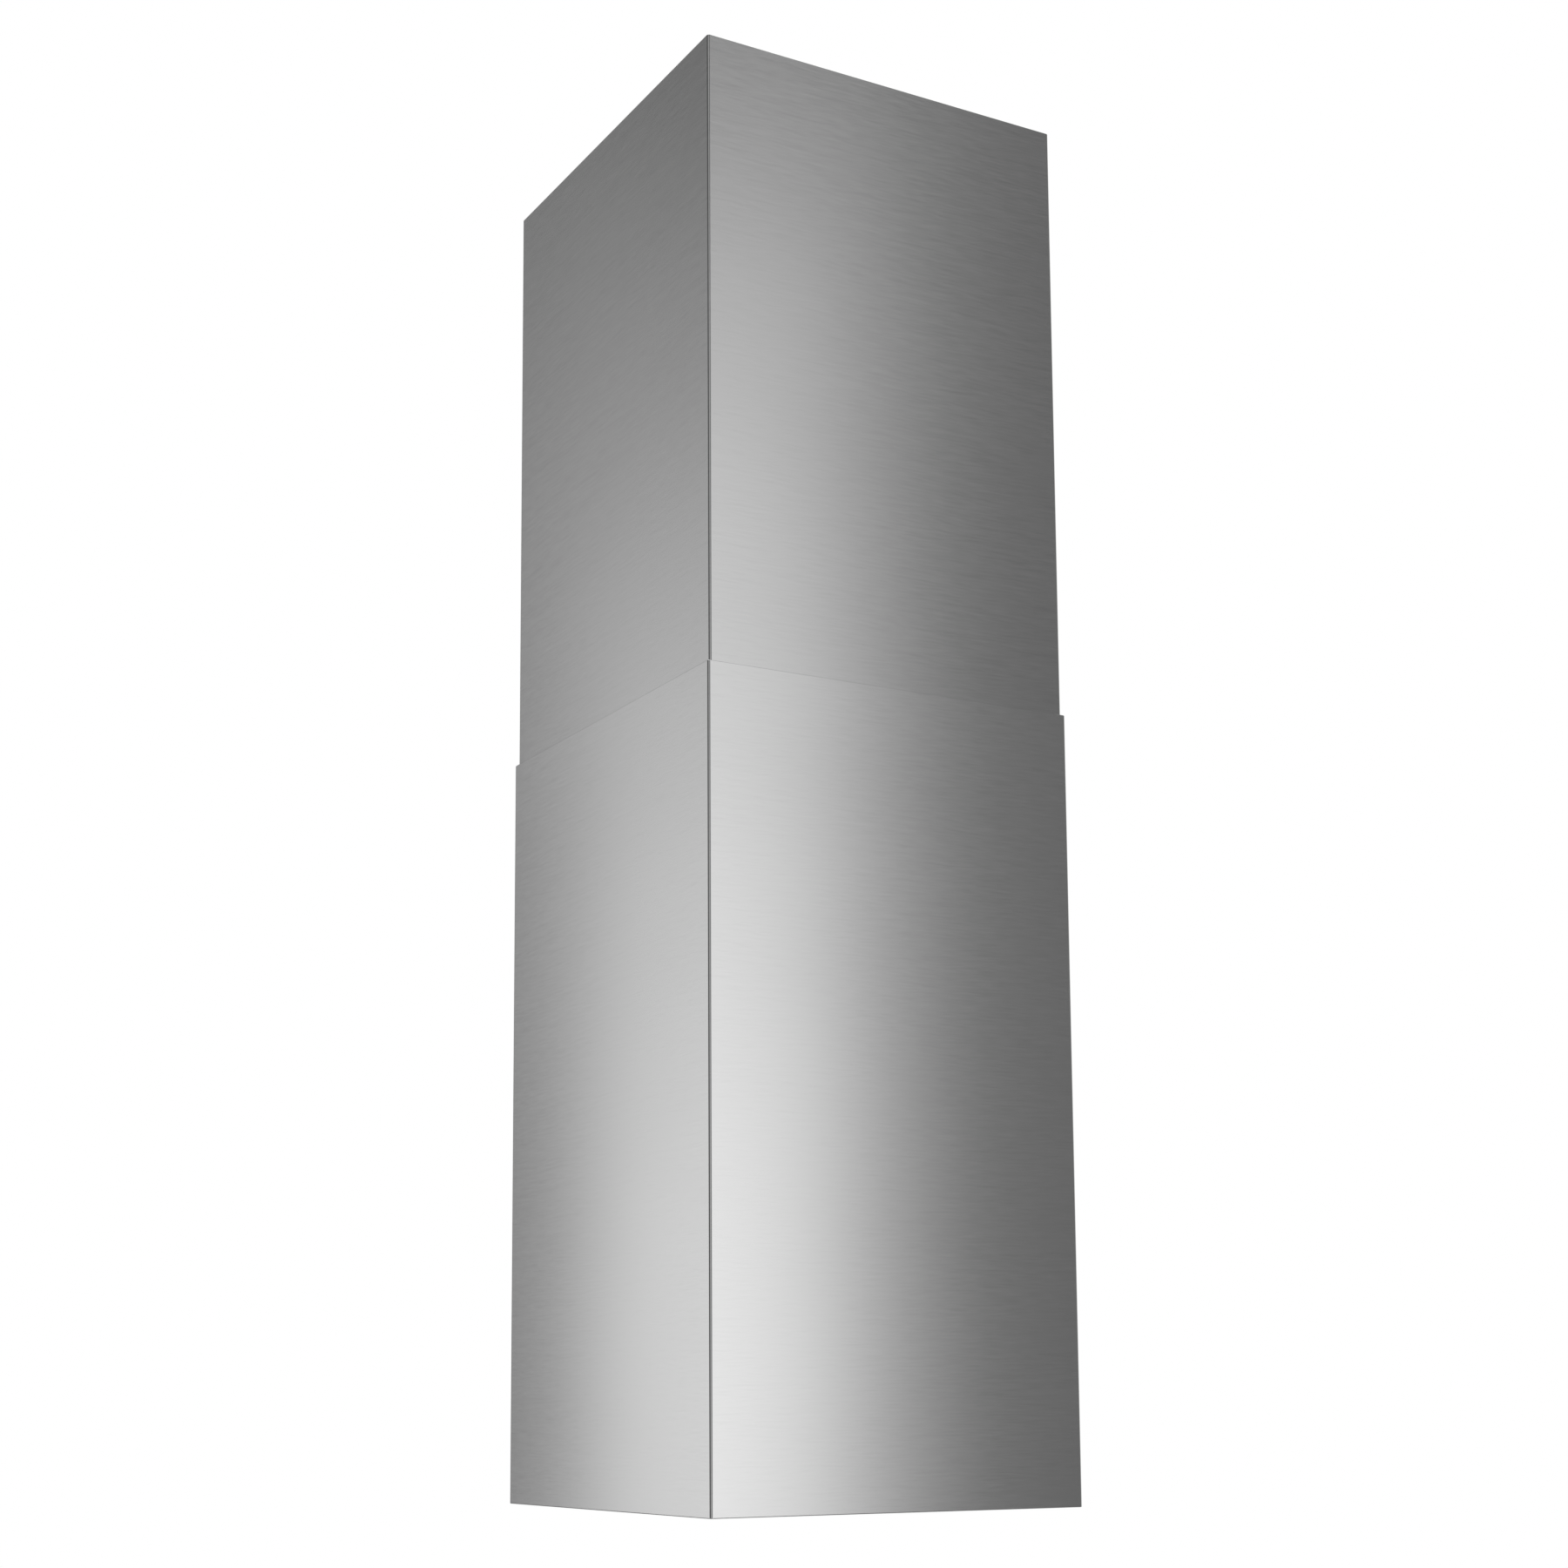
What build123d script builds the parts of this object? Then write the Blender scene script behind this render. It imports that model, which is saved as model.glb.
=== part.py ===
from build123d import *
import os

# Column-type island range hood, hung from the ceiling. Millimetres, +Z up, front towards -Y.
# The origin is the centre of the ceiling plate's top face, so the hood hangs below z = 0.
# Two telescoping stainless covers hide a bolted frame of angle posts, a flexible exhaust duct
# and a blower chassis. The intake filter, lamps and push buttons are in the underside tray.

# ---- driving dimensions -------------------------------------------------------------------
COVER_W = 300.0          # lower cover, outside, left to right
COVER_D = 330.0          # lower cover, outside, front to rear
LOWER_H = 580.0          # lower cover height
UPPER_SHOWN = 460.0      # height of upper cover left showing above the lower one
UPPER_OVERLAP = 110.0    # length of upper cover hidden inside the lower one
STEP = 2.25              # how far the lower cover stands outside the upper one, per side
SHEET = 0.8              # stainless cover sheet
BEND_R = 2.0             # outside radius of the covers' bends
CEILING_GAP = 1.0        # upper cover's top edge below the ceiling
DUCT_R = 75.0            # house duct radius
TRAVEL = 150.0           # telescoping travel of the frame

# ---- fits ---------------------------------------------------------------------------------
RUN_FIT = 0.05           # radial clearance of a running shaft, pin or screw
POST_CLEAR = 0.3         # sliding clearance between upper and lower posts
SLOT_CLEAR = 0.3         # clearance of a locking screw in its slot
TOUCH = 0.1              # gap between sheets that lie side by side
CUT = 5.0                # how far a cutter runs past the face it cuts

# ---- heights worked out from them ---------------------------------------------------------
RIM_Z = -UPPER_SHOWN                  # top edge of the lower cover
BOTTOM_Z = RIM_Z - LOWER_H            # bottom edge of the whole hood
UPPER_END_Z = RIM_Z - UPPER_OVERLAP   # hidden bottom edge of the upper cover
UPPER_W = COVER_W - 2 * STEP
UPPER_D = COVER_D - 2 * STEP

# ---- cover details ------------------------------------------------------------------------
RIM_BREAK = 0.4          # broken edge at the lower cover's top rim
HEM_H = 8.0              # folded hem at the lower cover's bottom
HEM_R = 0.7              # outside radius of that fold
SEAM_FLANGE = 14.0       # return of the wrap onto the rear face
SEAM_GAP = 0.4           # visible gap between the return and the rear panel
SEAM_PLAY = 0.05         # gap between a seam's two sheets
JOGGLE = 3.0             # width of the step in the rear panel's edges
RIVET_R = 1.6
RIVET_HEAD_R = 3.0
RIVET_HEAD_T = 0.8
RIVET_INSET = 7.0        # rivet line from the cover's side
RIVET_END = 60.0         # first rivet from the cover's end

# ---- frame --------------------------------------------------------------------------------
PLATE_T = 2.0
PLATE_CORNER_R = 3.0
FLANGE_H = 40.0
POST_LEG = 25.0
POST_T = 2.0
UPPER_POST_X = 138.0     # outer corner of an upper post
UPPER_POST_Y = 153.0
LOWER_POST_X = UPPER_POST_X + POST_CLEAR + POST_T
LOWER_POST_Y = UPPER_POST_Y + POST_CLEAR + POST_T
UPPER_POST_END_Z = -503.0
LOWER_POST_TOP_Z = UPPER_POST_END_Z + TRAVEL
PLATE_X = UPPER_POST_X + PLATE_T
PLATE_Y = UPPER_POST_Y + PLATE_T
BOLT_X, BOLT_Y, BOLT_R = 110.0, 125.0, 4.0
CABLE_X, CABLE_R = 112.0, 9.0
GROMMET_WALL = 2.0
POST_SCREW_R = 2.5
POST_SCREW_Y = UPPER_POST_Y - POST_LEG / 2
POST_SCREW_Z = (-14.0, -32.0)
LOCK_Z = (UPPER_POST_END_Z + 24.0, UPPER_POST_END_Z + 60.0)

# ---- chassis ------------------------------------------------------------------------------
CHASSIS_T = 1.0
CHASSIS_X = LOWER_POST_X - POST_T - TOUCH
CHASSIS_Y = LOWER_POST_Y - POST_T - TOUCH
CHASSIS_TOP_Z = -706.0   # top face of the chassis top plate
CHASSIS_SCREW_R = 2.0
BRACKET_Z = -975.0       # brackets between the posts and the lower cover
CHASSIS_SCREW_Z = (-760.0, BRACKET_Z)
OUTLET_R = 64.0          # air hole in the chassis top plate

# ---- tray ---------------------------------------------------------------------------------
TRAY_Z = BOTTOM_Z + 10.0              # underside face of the tray
TRAY_T = 1.0
TRAY_H = 19.0
TRAY_TOP_Z = TRAY_Z + TRAY_T
FOOT_T = 2.0                          # bent foot of each lower post
CHASSIS_END_Z = TRAY_TOP_Z + FOOT_T + 2 * TOUCH
TRAY_SCREW_R = 2.0
TRAY_SCREW_X = LOWER_POST_X - POST_LEG / 2
TRAY_SCREW_Y = LOWER_POST_Y - POST_LEG / 2
PIN_R = 1.5                           # damper and filter hinge pins

os.makedirs("parts", exist_ok=True)
PARTS = {}


# ---- shapes -------------------------------------------------------------------------------
def box(x0, x1, y0, y1, z0, z1):
    """Box between two corners, given in any order."""
    solid = Box(abs(x1 - x0), abs(y1 - y0), abs(z1 - z0))
    return Pos((x0 + x1) / 2, (y0 + y1) / 2, (z0 + z1) / 2) * solid


def rod(r, z0, z1, x=0.0, y=0.0):
    """Upright cylinder."""
    return Pos(x, y, (z0 + z1) / 2) * Cylinder(r, abs(z1 - z0))


def rod_x(r, x0, x1, y, z):
    """Cylinder along X."""
    return Pos((x0 + x1) / 2, y, z) * Rot(0, 90, 0) * Cylinder(r, abs(x1 - x0))


def rod_y(r, y0, y1, x, z):
    """Cylinder along Y."""
    return Pos(x, (y0 + y1) / 2, z) * Rot(90, 0, 0) * Cylinder(r, abs(y1 - y0))


def tube(r_out, r_in, z0, z1, x=0.0, y=0.0):
    """Upright round tube."""
    return rod(r_out, z0, z1, x, y) - rod(r_in, z0 - CUT, z1 + CUT, x, y)


def rounded(w, d, r, z0, z1):
    """Upright block with rounded upright edges."""
    return extrude(Pos(0, 0, z0) * RectangleRounded(w, d, r), z1 - z0)


def group(solids):
    """Separate solids kept side by side in one node."""
    return Compound(children=[s for piece in solids for s in piece.solids()])


def corners():
    """Names and signs of the four posts."""
    return (
        ("front_left", -1, -1),
        ("front_right", 1, -1),
        ("rear_left", -1, 1),
        ("rear_right", 1, 1),
    )


def cross_recess(place, head_r):
    """Cutter for a cross recess; place puts its centre on the head's outer face."""
    wide, narrow, depth = head_r, head_r * 0.26, head_r * 0.35
    return place * (Box(wide, narrow, 2 * depth) + Box(narrow, wide, 2 * depth))


def screw_x(r, face, direction, reach, y, z, head_r, head_t):
    """Pan-head screw along X: its head stands on the face and its shank goes the other way."""
    crown = face + direction * head_t
    cap = rod_x(head_r, face, crown, y, z)
    outer = cap.edges().sort_by(Axis.X)[-1 if direction > 0 else 0]
    cap = fillet(outer, head_t * 0.45)
    screw = rod_x(r, face, face - direction * reach, y, z) + cap
    return screw - cross_recess(Pos(crown, y, z) * Rot(0, 90, 0), head_r)


def nut_x(x0, x1, r, y, z, bore):
    """Hexagon nut along X."""
    blank = Rot(0, 90, 0) * extrude(RegularPolygon(r, 6), x1 - x0)
    return Pos(x0, y, z) * blank - rod_x(bore, x0 - CUT, x1 + CUT, y, z)


# ---- covers -------------------------------------------------------------------------------
def rivet_heights(z0, z1):
    """Rivet heights along a seam: one near each end and one between."""
    return (z0 + RIVET_END, (z0 + z1) / 2, z1 - RIVET_END)


def seam_holes(w, d, z0, z1):
    """Cutters for the rivet holes through the rear seams."""
    cut = []
    for side in (-1, 1):
        for z in rivet_heights(z0, z1):
            cut.append(rod_y(RIVET_R + RUN_FIT, d / 2 - CUT, d / 2 + CUT, side * (w / 2 - RIVET_INSET), z))
    return cut


def rear_window(w, d, z0, z1):
    """The part of the rear face that the wrap leaves open."""
    half = w / 2 - SEAM_FLANGE
    return box(-half, half, d / 2 - CUT, d / 2 + CUT, z0 - CUT, z1 + CUT)


def upper_wrap(w, d, z0, z1):
    """Front and both sides bent from one sheet, with short returns on the rear face."""
    shell = rounded(w, d, BEND_R, z0, z1)
    shell -= rounded(w - 2 * SHEET, d - 2 * SHEET, BEND_R - SHEET, z0 - CUT, z1 + CUT)
    return shell - rear_window(w, d, z0, z1)


def lower_wrap(w, d, z0, z1):
    """The same bent sheet with its top edge broken and its bottom edge folded inwards."""
    shell = rounded(w, d, BEND_R, z0, z1)
    shell = chamfer(shell.edges().group_by(Axis.Z)[-1], RIM_BREAK)
    shell = fillet(shell.edges().group_by(Axis.Z)[0], HEM_R)
    fold_top = z0 + HEM_H
    shell -= rounded(w - 2 * SHEET, d - 2 * SHEET, BEND_R - SHEET, fold_top, z1 + CUT)
    shell -= rounded(w - 4 * SHEET, d - 4 * SHEET, BEND_R - 2 * SHEET, z0 - CUT, fold_top + CUT)
    return shell - rear_window(w, d, z0, z1)


def cover_rear_panel(w, d, z0, z1):
    """Flat rear panel whose joggled edges lie behind the wrap's returns."""
    half = w / 2 - SEAM_FLANGE - SEAM_GAP
    inner = d / 2 - SHEET - SEAM_PLAY
    reach = w / 2 - BEND_R - 0.6
    low = z0 + HEM_H + 1
    panel = box(-half, half, d / 2 - SHEET, d / 2, z0, z1)
    for side in (-1, 1):
        panel += box(side * (half - JOGGLE), side * half, inner - SHEET, d / 2, low, z1)
        panel += box(side * (half - JOGGLE), side * reach, inner - SHEET, inner, low, z1)
    return panel


def seam_rivets(w, d, z0, z1):
    """Low-domed rivets that join the rear panel to the wrap, set flush inside."""
    made = []
    for side in (-1, 1):
        for z in rivet_heights(z0, z1):
            x = side * (w / 2 - RIVET_INSET)
            rivet = rod_y(RIVET_R, d / 2 - 2 * SHEET - SEAM_PLAY, d / 2, x, z)
            dome = rod_y(RIVET_HEAD_R, d / 2, d / 2 + RIVET_HEAD_T, x, z)
            dome = fillet(dome.edges().sort_by(Axis.Y)[-1], RIVET_HEAD_T * 0.7)
            made.append(rivet + dome)
    return group(made)


def glide_strips():
    """Nylon strips inside the lower cover's rim that the upper cover slides against."""
    strip_t, strip_h, below_rim = 1.0, 20.0, 6.0
    half_x, half_y = 110.0, 125.0
    top = RIM_Z - below_rim
    x_in = COVER_W / 2 - SHEET
    y_in = COVER_D / 2 - SHEET
    strips = []
    for side in (-1, 1):
        strips.append(box(-half_x, half_x, side * y_in, side * (y_in - strip_t), top - strip_h, top))
        strips.append(box(side * x_in, side * (x_in - strip_t), -half_y, half_y, top - strip_h, top))
    return group(strips)


def cover_brackets():
    """Z-brackets spot-welded inside the lower cover and screwed to the posts."""
    t, half_h = 1.2, 12.0
    foot_y, web_y, tab_y = 114.0, 130.8, 150.0
    x_in = COVER_W / 2 - SHEET
    legs = (
        (LOWER_POST_X, LOWER_POST_X + t, web_y, tab_y),
        (LOWER_POST_X, x_in, web_y, web_y + t),
        (x_in - t, x_in, foot_y, web_y + t),
    )
    made = []
    for _, sx, sy in corners():
        piece = None
        for x0, x1, y0, y1 in legs:
            leg = box(sx * x0, sx * x1, sy * y0, sy * y1, BRACKET_Z - half_h, BRACKET_Z + half_h)
            piece = leg if piece is None else piece + leg
        x0, x1 = sx * (LOWER_POST_X - CUT), sx * (LOWER_POST_X + CUT)
        made.append(piece - rod_x(CHASSIS_SCREW_R + RUN_FIT, x0, x1, sy * POST_SCREW_Y, BRACKET_Z))
    return group(made)


def covers():
    """Both telescoping covers with their seams, glide strips and brackets."""
    upper = (UPPER_W, UPPER_D, UPPER_END_Z, -CEILING_GAP)
    lower = (COVER_W, COVER_D, BOTTOM_Z, RIM_Z)
    wrap = lower_wrap(*lower)
    panel = cover_rear_panel(*lower)
    for hole in seam_holes(*lower):
        wrap -= hole
        panel -= hole
    PARTS["upper_cover_wrap"] = upper_wrap(*upper)
    PARTS["upper_cover_rear_panel"] = cover_rear_panel(*upper)
    PARTS["lower_cover_wrap"] = wrap
    PARTS["lower_cover_rear_panel"] = panel
    PARTS["lower_cover_rivets"] = seam_rivets(*lower)
    PARTS["glide_strips"] = glide_strips()
    PARTS["cover_brackets"] = cover_brackets()


# ---- ceiling frame ------------------------------------------------------------------------
def ceiling_plate():
    """Pressed plate with down-turned flanges, four bolt holes, duct hole and cable hole."""
    low = -PLATE_T - FLANGE_H
    relief, relief_z = 46.0, -PLATE_T - 22.0
    plate = rounded(2 * PLATE_X, 2 * PLATE_Y, PLATE_CORNER_R, low, 0)
    plate -= box(-UPPER_POST_X, UPPER_POST_X, -UPPER_POST_Y, UPPER_POST_Y, low - CUT, -PLATE_T)
    plate -= rod(DUCT_R + COLLAR_T + 2 * TOUCH, -CUT, CUT)
    plate -= rod(CABLE_R + GROMMET_WALL, -CUT, CUT, CABLE_X)
    for side in (-1, 1):
        plate -= box(-relief, relief, side * PLATE_Y - CUT, side * PLATE_Y + CUT, low - CUT, relief_z)
        plate -= box(side * PLATE_X - CUT, side * PLATE_X + CUT, -relief, relief, low - CUT, relief_z)
    for _, sx, sy in corners():
        plate -= rod(BOLT_R, -CUT, CUT, sx * BOLT_X, sy * BOLT_Y)
        x0, x1 = sx * PLATE_X - CUT, sx * PLATE_X + CUT
        for z in POST_SCREW_Z:
            plate -= rod_x(POST_SCREW_R + RUN_FIT, x0, x1, sy * POST_SCREW_Y, z)
    return plate


def angle_post(px, py, sx, sy, z0, z1):
    """Angle section with its corner at (px, py), legs towards the middle."""
    post = box(sx * px, sx * (px - POST_LEG), sy * py, sy * (py - POST_LEG), z0, z1)
    x0, x1 = sx * (px - POST_T), sx * (px - POST_LEG - CUT)
    y0, y1 = sy * (py - POST_T), sy * (py - POST_LEG - CUT)
    return post - box(x0, x1, y0, y1, z0 - CUT, z1 + CUT)


def slot_cut(x0, x1, y, z_low, z_high, r):
    """Upright slot cutter through a leg that faces X."""
    cut = rod_x(r, x0, x1, y, z_low) + rod_x(r, x0, x1, y, z_high)
    return cut + box(x0, x1, y - r, y + r, z_low, z_high)


def upper_post(sx, sy):
    """Post hung from the ceiling plate, with the long slot that the locking screws run in."""
    y = sy * POST_SCREW_Y
    x0, x1 = sx * (UPPER_POST_X - CUT), sx * (UPPER_POST_X + CUT)
    post = angle_post(UPPER_POST_X, UPPER_POST_Y, sx, sy, UPPER_POST_END_Z, -PLATE_T - 2 * TOUCH)
    post -= slot_cut(x0, x1, y, LOCK_Z[0], LOCK_Z[1] + TRAVEL, POST_SCREW_R + SLOT_CLEAR)
    for z in POST_SCREW_Z:
        post -= rod_x(POST_SCREW_R + RUN_FIT, x0, x1, y, z)
    return post


def lower_post(sx, sy):
    """Post that slides outside the upper one; its bent foot carries the tray."""
    spare_r, spare_count, spare_pitch, spare_inset, bend_overlap = 2.6, 3, 25.0, 12.0, 0.5
    x, y = sx * (LOWER_POST_X - POST_LEG / 2), sy * POST_SCREW_Y
    x0, x1 = sx * (LOWER_POST_X - CUT), sx * (LOWER_POST_X + CUT)
    y0, y1 = sy * LOWER_POST_Y - CUT, sy * LOWER_POST_Y + CUT
    post = angle_post(LOWER_POST_X, LOWER_POST_Y, sx, sy, TRAY_TOP_Z, LOWER_POST_TOP_Z)
    post += box(sx * (LOWER_POST_X - bend_overlap), sx * (LOWER_POST_X - POST_LEG),
                sy * (LOWER_POST_Y - bend_overlap), sy * (LOWER_POST_Y - POST_LEG),
                TRAY_TOP_Z, TRAY_TOP_Z + FOOT_T)
    post -= rod(TRAY_SCREW_R + RUN_FIT, TRAY_TOP_Z - CUT, TRAY_TOP_Z + CUT, sx * TRAY_SCREW_X, sy * TRAY_SCREW_Y)
    for z in LOCK_Z:
        post -= rod_x(POST_SCREW_R + RUN_FIT, x0, x1, y, z)
    for z in CHASSIS_SCREW_Z:
        post -= rod_x(CHASSIS_SCREW_R + RUN_FIT, x0, x1, y, z)
    for k in range(spare_count):
        post -= rod_y(spare_r, y0, y1, x, LOWER_POST_TOP_Z - spare_inset - k * spare_pitch)
    return post


def frame_fasteners():
    """Post screws at the ceiling plate, locking screws with nuts, and chassis screws set from inside."""
    head_r, head_t, post_reach, lock_reach = 4.6, 2.6, 7.0, 10.0
    small_head_r, small_head_t, small_reach = 3.8, 2.2, 6.0
    nut_gap, nut_t = 0.4, 3.6
    top, lock, chassis = [], [], []
    for _, sx, sy in corners():
        y = sy * POST_SCREW_Y
        near = sx * (UPPER_POST_X - POST_T - nut_gap)
        far = near - sx * nut_t
        for z in POST_SCREW_Z:
            top.append(screw_x(POST_SCREW_R, sx * PLATE_X, sx, post_reach, y, z, head_r, head_t))
        for z in LOCK_Z:
            lock.append(screw_x(POST_SCREW_R, sx * LOWER_POST_X, sx, lock_reach, y, z, head_r, head_t))
            lock.append(nut_x(min(near, far), max(near, far), head_r, y, z, POST_SCREW_R))
        for z in CHASSIS_SCREW_Z:
            face = sx * (CHASSIS_X - CHASSIS_T)
            chassis.append(screw_x(CHASSIS_SCREW_R, face, -sx, small_reach, y, z, small_head_r, small_head_t))
    PARTS["post_top_screws"] = group(top)
    PARTS["frame_lock_screws"] = group(lock)
    PARTS["chassis_screws"] = group(chassis)


def frame_braces():
    """Flat straps that square the upper frame, front and rear, with a stiffening rib."""
    z_mid, half_h, rib_half_h = -250.0, 15.0, 4.0
    strap_half, rib_half = 130.0, 100.0
    strap_t, rib_t = 1.5, 3.0
    made = []
    for side in (-1, 1):
        face = side * (UPPER_POST_Y - POST_T)
        back = face - side * strap_t
        strap = box(-strap_half, strap_half, face, back, z_mid - half_h, z_mid + half_h)
        rib = box(-rib_half, rib_half, back, back - side * rib_t, z_mid - rib_half_h, z_mid + rib_half_h)
        made.append(strap + rib)
    return group(made)


def cover_clips():
    """Spring clips on the ceiling plate's flanges that hold the upper cover's inside."""
    t, half_w, play = 0.8, 9.0, 0.3
    z_top, z_bend, z_crown, z_low = -6.0, -11.0, -14.0, -22.0
    flat, flat_in, thin = 1.0, 0.6, 0.4
    made = []
    for turn, face, width in ((0, PLATE_X, UPPER_W), (90, PLATE_Y, UPPER_D), (180, PLATE_X, UPPER_W),
                              (270, PLATE_Y, UPPER_D)):
        reach = width / 2 - SHEET - play
        inner = reach - t - thin
        profile = Polyline(
            (face, z_top), (face + t, z_top), (face + t, z_bend), (reach, z_crown + flat), (reach, z_crown - flat),
            (face + t, z_low), (face, z_low), (face, z_low + t), (inner, z_crown - flat_in),
            (inner, z_crown + flat_in), (face, z_bend), close=True)
        made.append(Rot(0, 0, turn) * extrude(make_face(Plane.XZ * profile), half_w, both=True))
    return group(made)


def ceiling_frame():
    """Plate, clips, posts, braces and their screws."""
    PARTS["ceiling_plate"] = ceiling_plate()
    PARTS["cover_clips"] = cover_clips()
    PARTS["upper_braces"] = frame_braces()
    for name, sx, sy in corners():
        PARTS["upper_post_" + name] = upper_post(sx, sy)
        PARTS["lower_post_" + name] = lower_post(sx, sy)
    frame_fasteners()


# ---- duct and backdraft damper ------------------------------------------------------------
COLLAR_DEPTH = 50.0
COLLAR_T = 1.0
DUCT_OUT_R = DUCT_R + 5.0
DUCT_IN_R = DUCT_R + COLLAR_T + 0.3
DUCT_WALL = 0.6
DUCT_RIBS = 56
DUCT_TOP_Z = -12.0
DUCT_END_Z = CHASSIS_TOP_Z + 16.0
CLAMP_TOP_Z = DUCT_TOP_Z - 18.0
CLAMP_LOW_Z = DUCT_END_Z + 14.0
OUTLET_TOP_Z = CHASSIS_TOP_Z + 66.0
SEAT_Z = CHASSIS_TOP_Z + 35.0
SEAT_W = 5.0
SEAT_T = 1.2
PIN_Z = SEAT_Z + 3.2
PIN_END = 0.8            # how far the pin's ends stand into the spigot's wall
FLAP_R = DUCT_R - 2.2
FLAP_T = 1.0
FLAP_Z = SEAT_Z + 2 * TOUCH
KNUCKLE_R = 2.5
KNUCKLE_L = 16.0
KNUCKLE_PITCH = 24.0
KNUCKLES = 5


def duct_collar():
    """Spun collar under the ceiling plate: the house duct pushes into it from above."""
    flange_w, flange_t = 12.0, 1.2
    collar = tube(DUCT_R + COLLAR_T, DUCT_R, -COLLAR_DEPTH, 0)
    return collar + tube(DUCT_R + flange_w, DUCT_R + COLLAR_T / 2, -PLATE_T - flange_t, -PLATE_T)


def cable_grommet():
    """Rubber grommet in the ceiling plate's cable hole."""
    low, lip_w = -PLATE_T - 3.0, 4.5
    ring = tube(CABLE_R + GROMMET_WALL - TOUCH, CABLE_R, low, 0, CABLE_X)
    lip = tube(CABLE_R + lip_w, CABLE_R + GROMMET_WALL / 2, low, -PLATE_T - TOUCH / 2, CABLE_X)
    return ring + lip


def band_clamp(z, turn):
    """Worm-drive band clamp round the duct."""
    r = DUCT_OUT_R + 2 * TOUCH
    band_t, band_half, sunk = 0.9, 6.0, 0.4
    house_w, house_half, house_reach = 9.0, 5.0, 9.0
    worm_r, worm_end, worm_out = 3.6, 15.0, 5.0
    band = tube(r + band_t, r, z - band_half, z + band_half)
    housing = box(r + sunk, r + house_reach, -house_w, house_w, z - house_half, z + house_half)
    housing += rod_y(worm_r, -worm_end, -house_w, r + worm_out, z)
    return Rot(0, 0, turn) * (band + housing)


def outlet_collar():
    """Outlet spigot on the chassis top, with the damper's seat inside and pin holes."""
    base_half, base_t = 88.0, 1.2
    made = box(-base_half, base_half, -base_half, base_half, CHASSIS_TOP_Z, CHASSIS_TOP_Z + base_t)
    made += rod(DUCT_R + COLLAR_T, CHASSIS_TOP_Z, OUTLET_TOP_Z)
    made -= rod(DUCT_R, SEAT_Z, OUTLET_TOP_Z + CUT)
    made -= rod(DUCT_R - SEAT_W, CHASSIS_TOP_Z - CUT, SEAT_Z + CUT)
    made -= rod(DUCT_R, CHASSIS_TOP_Z - CUT, SEAT_Z - SEAT_T)
    return made - rod_x(PIN_R + RUN_FIT, -DUCT_R - CUT, DUCT_R + CUT, 0, PIN_Z)


def damper_flap(side):
    """Half-round flap with curled knuckles on the pin; side is -1 for front, 1 for rear."""
    split, web_w, relief, play = 0.6, 4.5, 4.0, 1.0
    flap = rod(FLAP_R, FLAP_Z, FLAP_Z + FLAP_T)
    flap &= box(-DUCT_R, DUCT_R, side * split, side * DUCT_R, FLAP_Z - CUT, FLAP_Z + CUT)
    for k in range(KNUCKLES):
        x0 = (k - (KNUCKLES - 1) / 2) * KNUCKLE_PITCH - KNUCKLE_L / 2
        x1 = x0 + KNUCKLE_L
        mine = (k % 2 == 0) == (side < 0)
        if mine:
            flap += rod_x(KNUCKLE_R, x0, x1, 0, PIN_Z) + box(x0, x1, side * split, side * web_w, FLAP_Z, PIN_Z)
        else:
            flap -= box(x0 - play, x1 + play, -relief, relief, FLAP_Z - CUT, FLAP_Z + CUT)
    return flap - rod_x(PIN_R + RUN_FIT, -DUCT_R, DUCT_R, 0, PIN_Z)


def flex_duct():
    """Corrugated aluminium hose between the two collars."""
    pitch = (DUCT_TOP_Z - DUCT_END_Z) / DUCT_RIBS
    valley = DUCT_IN_R + DUCT_WALL
    outer, inner = [], []
    for k in range(DUCT_RIBS):
        z = DUCT_END_Z + k * pitch
        outer += [(valley, z), (DUCT_OUT_R, z + pitch / 2)]
        inner += [(DUCT_IN_R, z), (DUCT_OUT_R - DUCT_WALL, z + pitch / 2)]
    outer.append((valley, DUCT_TOP_Z))
    inner.append((DUCT_IN_R, DUCT_TOP_Z))
    profile = Polyline(*(outer + inner[::-1]), close=True)
    return revolve(make_face(Plane.XZ * profile), Axis.Z)


def duct_parts():
    """Flexible duct, clamps, outlet spigot and damper."""
    PARTS["duct_collar"] = duct_collar()
    PARTS["cable_grommet"] = cable_grommet()
    PARTS["flex_duct"] = flex_duct()
    PARTS["duct_clamp_upper"] = band_clamp(CLAMP_TOP_Z, 215)
    PARTS["duct_clamp_lower"] = band_clamp(CLAMP_LOW_Z, 35)
    PARTS["outlet_collar"] = outlet_collar()
    PARTS["damper_flap_front"] = damper_flap(-1)
    PARTS["damper_flap_rear"] = damper_flap(1)
    PARTS["damper_pin"] = rod_x(PIN_R, -DUCT_R - PIN_END, DUCT_R + PIN_END, 0, PIN_Z)


# ---- blower -------------------------------------------------------------------------------
FAN_Y, FAN_Z = 42.0, -880.0
FAN_R = 76.0
FAN_IN_R = 62.0
FAN_HALF = 56.0
BLADES = 32
SHAFT_R = 4.0
SHAFT_X0 = -18.0
HUB_X0, HUB_X1, HUB_R = -14.0, 3.0, 12.0
MOTOR_X0, MOTOR_X1, MOTOR_R = 8.0, 54.0, 44.0
BEARING_X, BEARING_R = 60.0, 15.0
SCROLL_HALF = 66.0
SCROLL_T = 1.6
SCROLL_R = 88.0          # tightest arc of the volute
SCROLL_STEP = 8.0        # growth of the radius per quarter turn
NECK_REACH = 28.0        # outlet neck's rear wall behind the wheel's axis
INLET_R = 63.0
INLET_LIP = 3.0
INLET_RIM = 5.0


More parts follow.
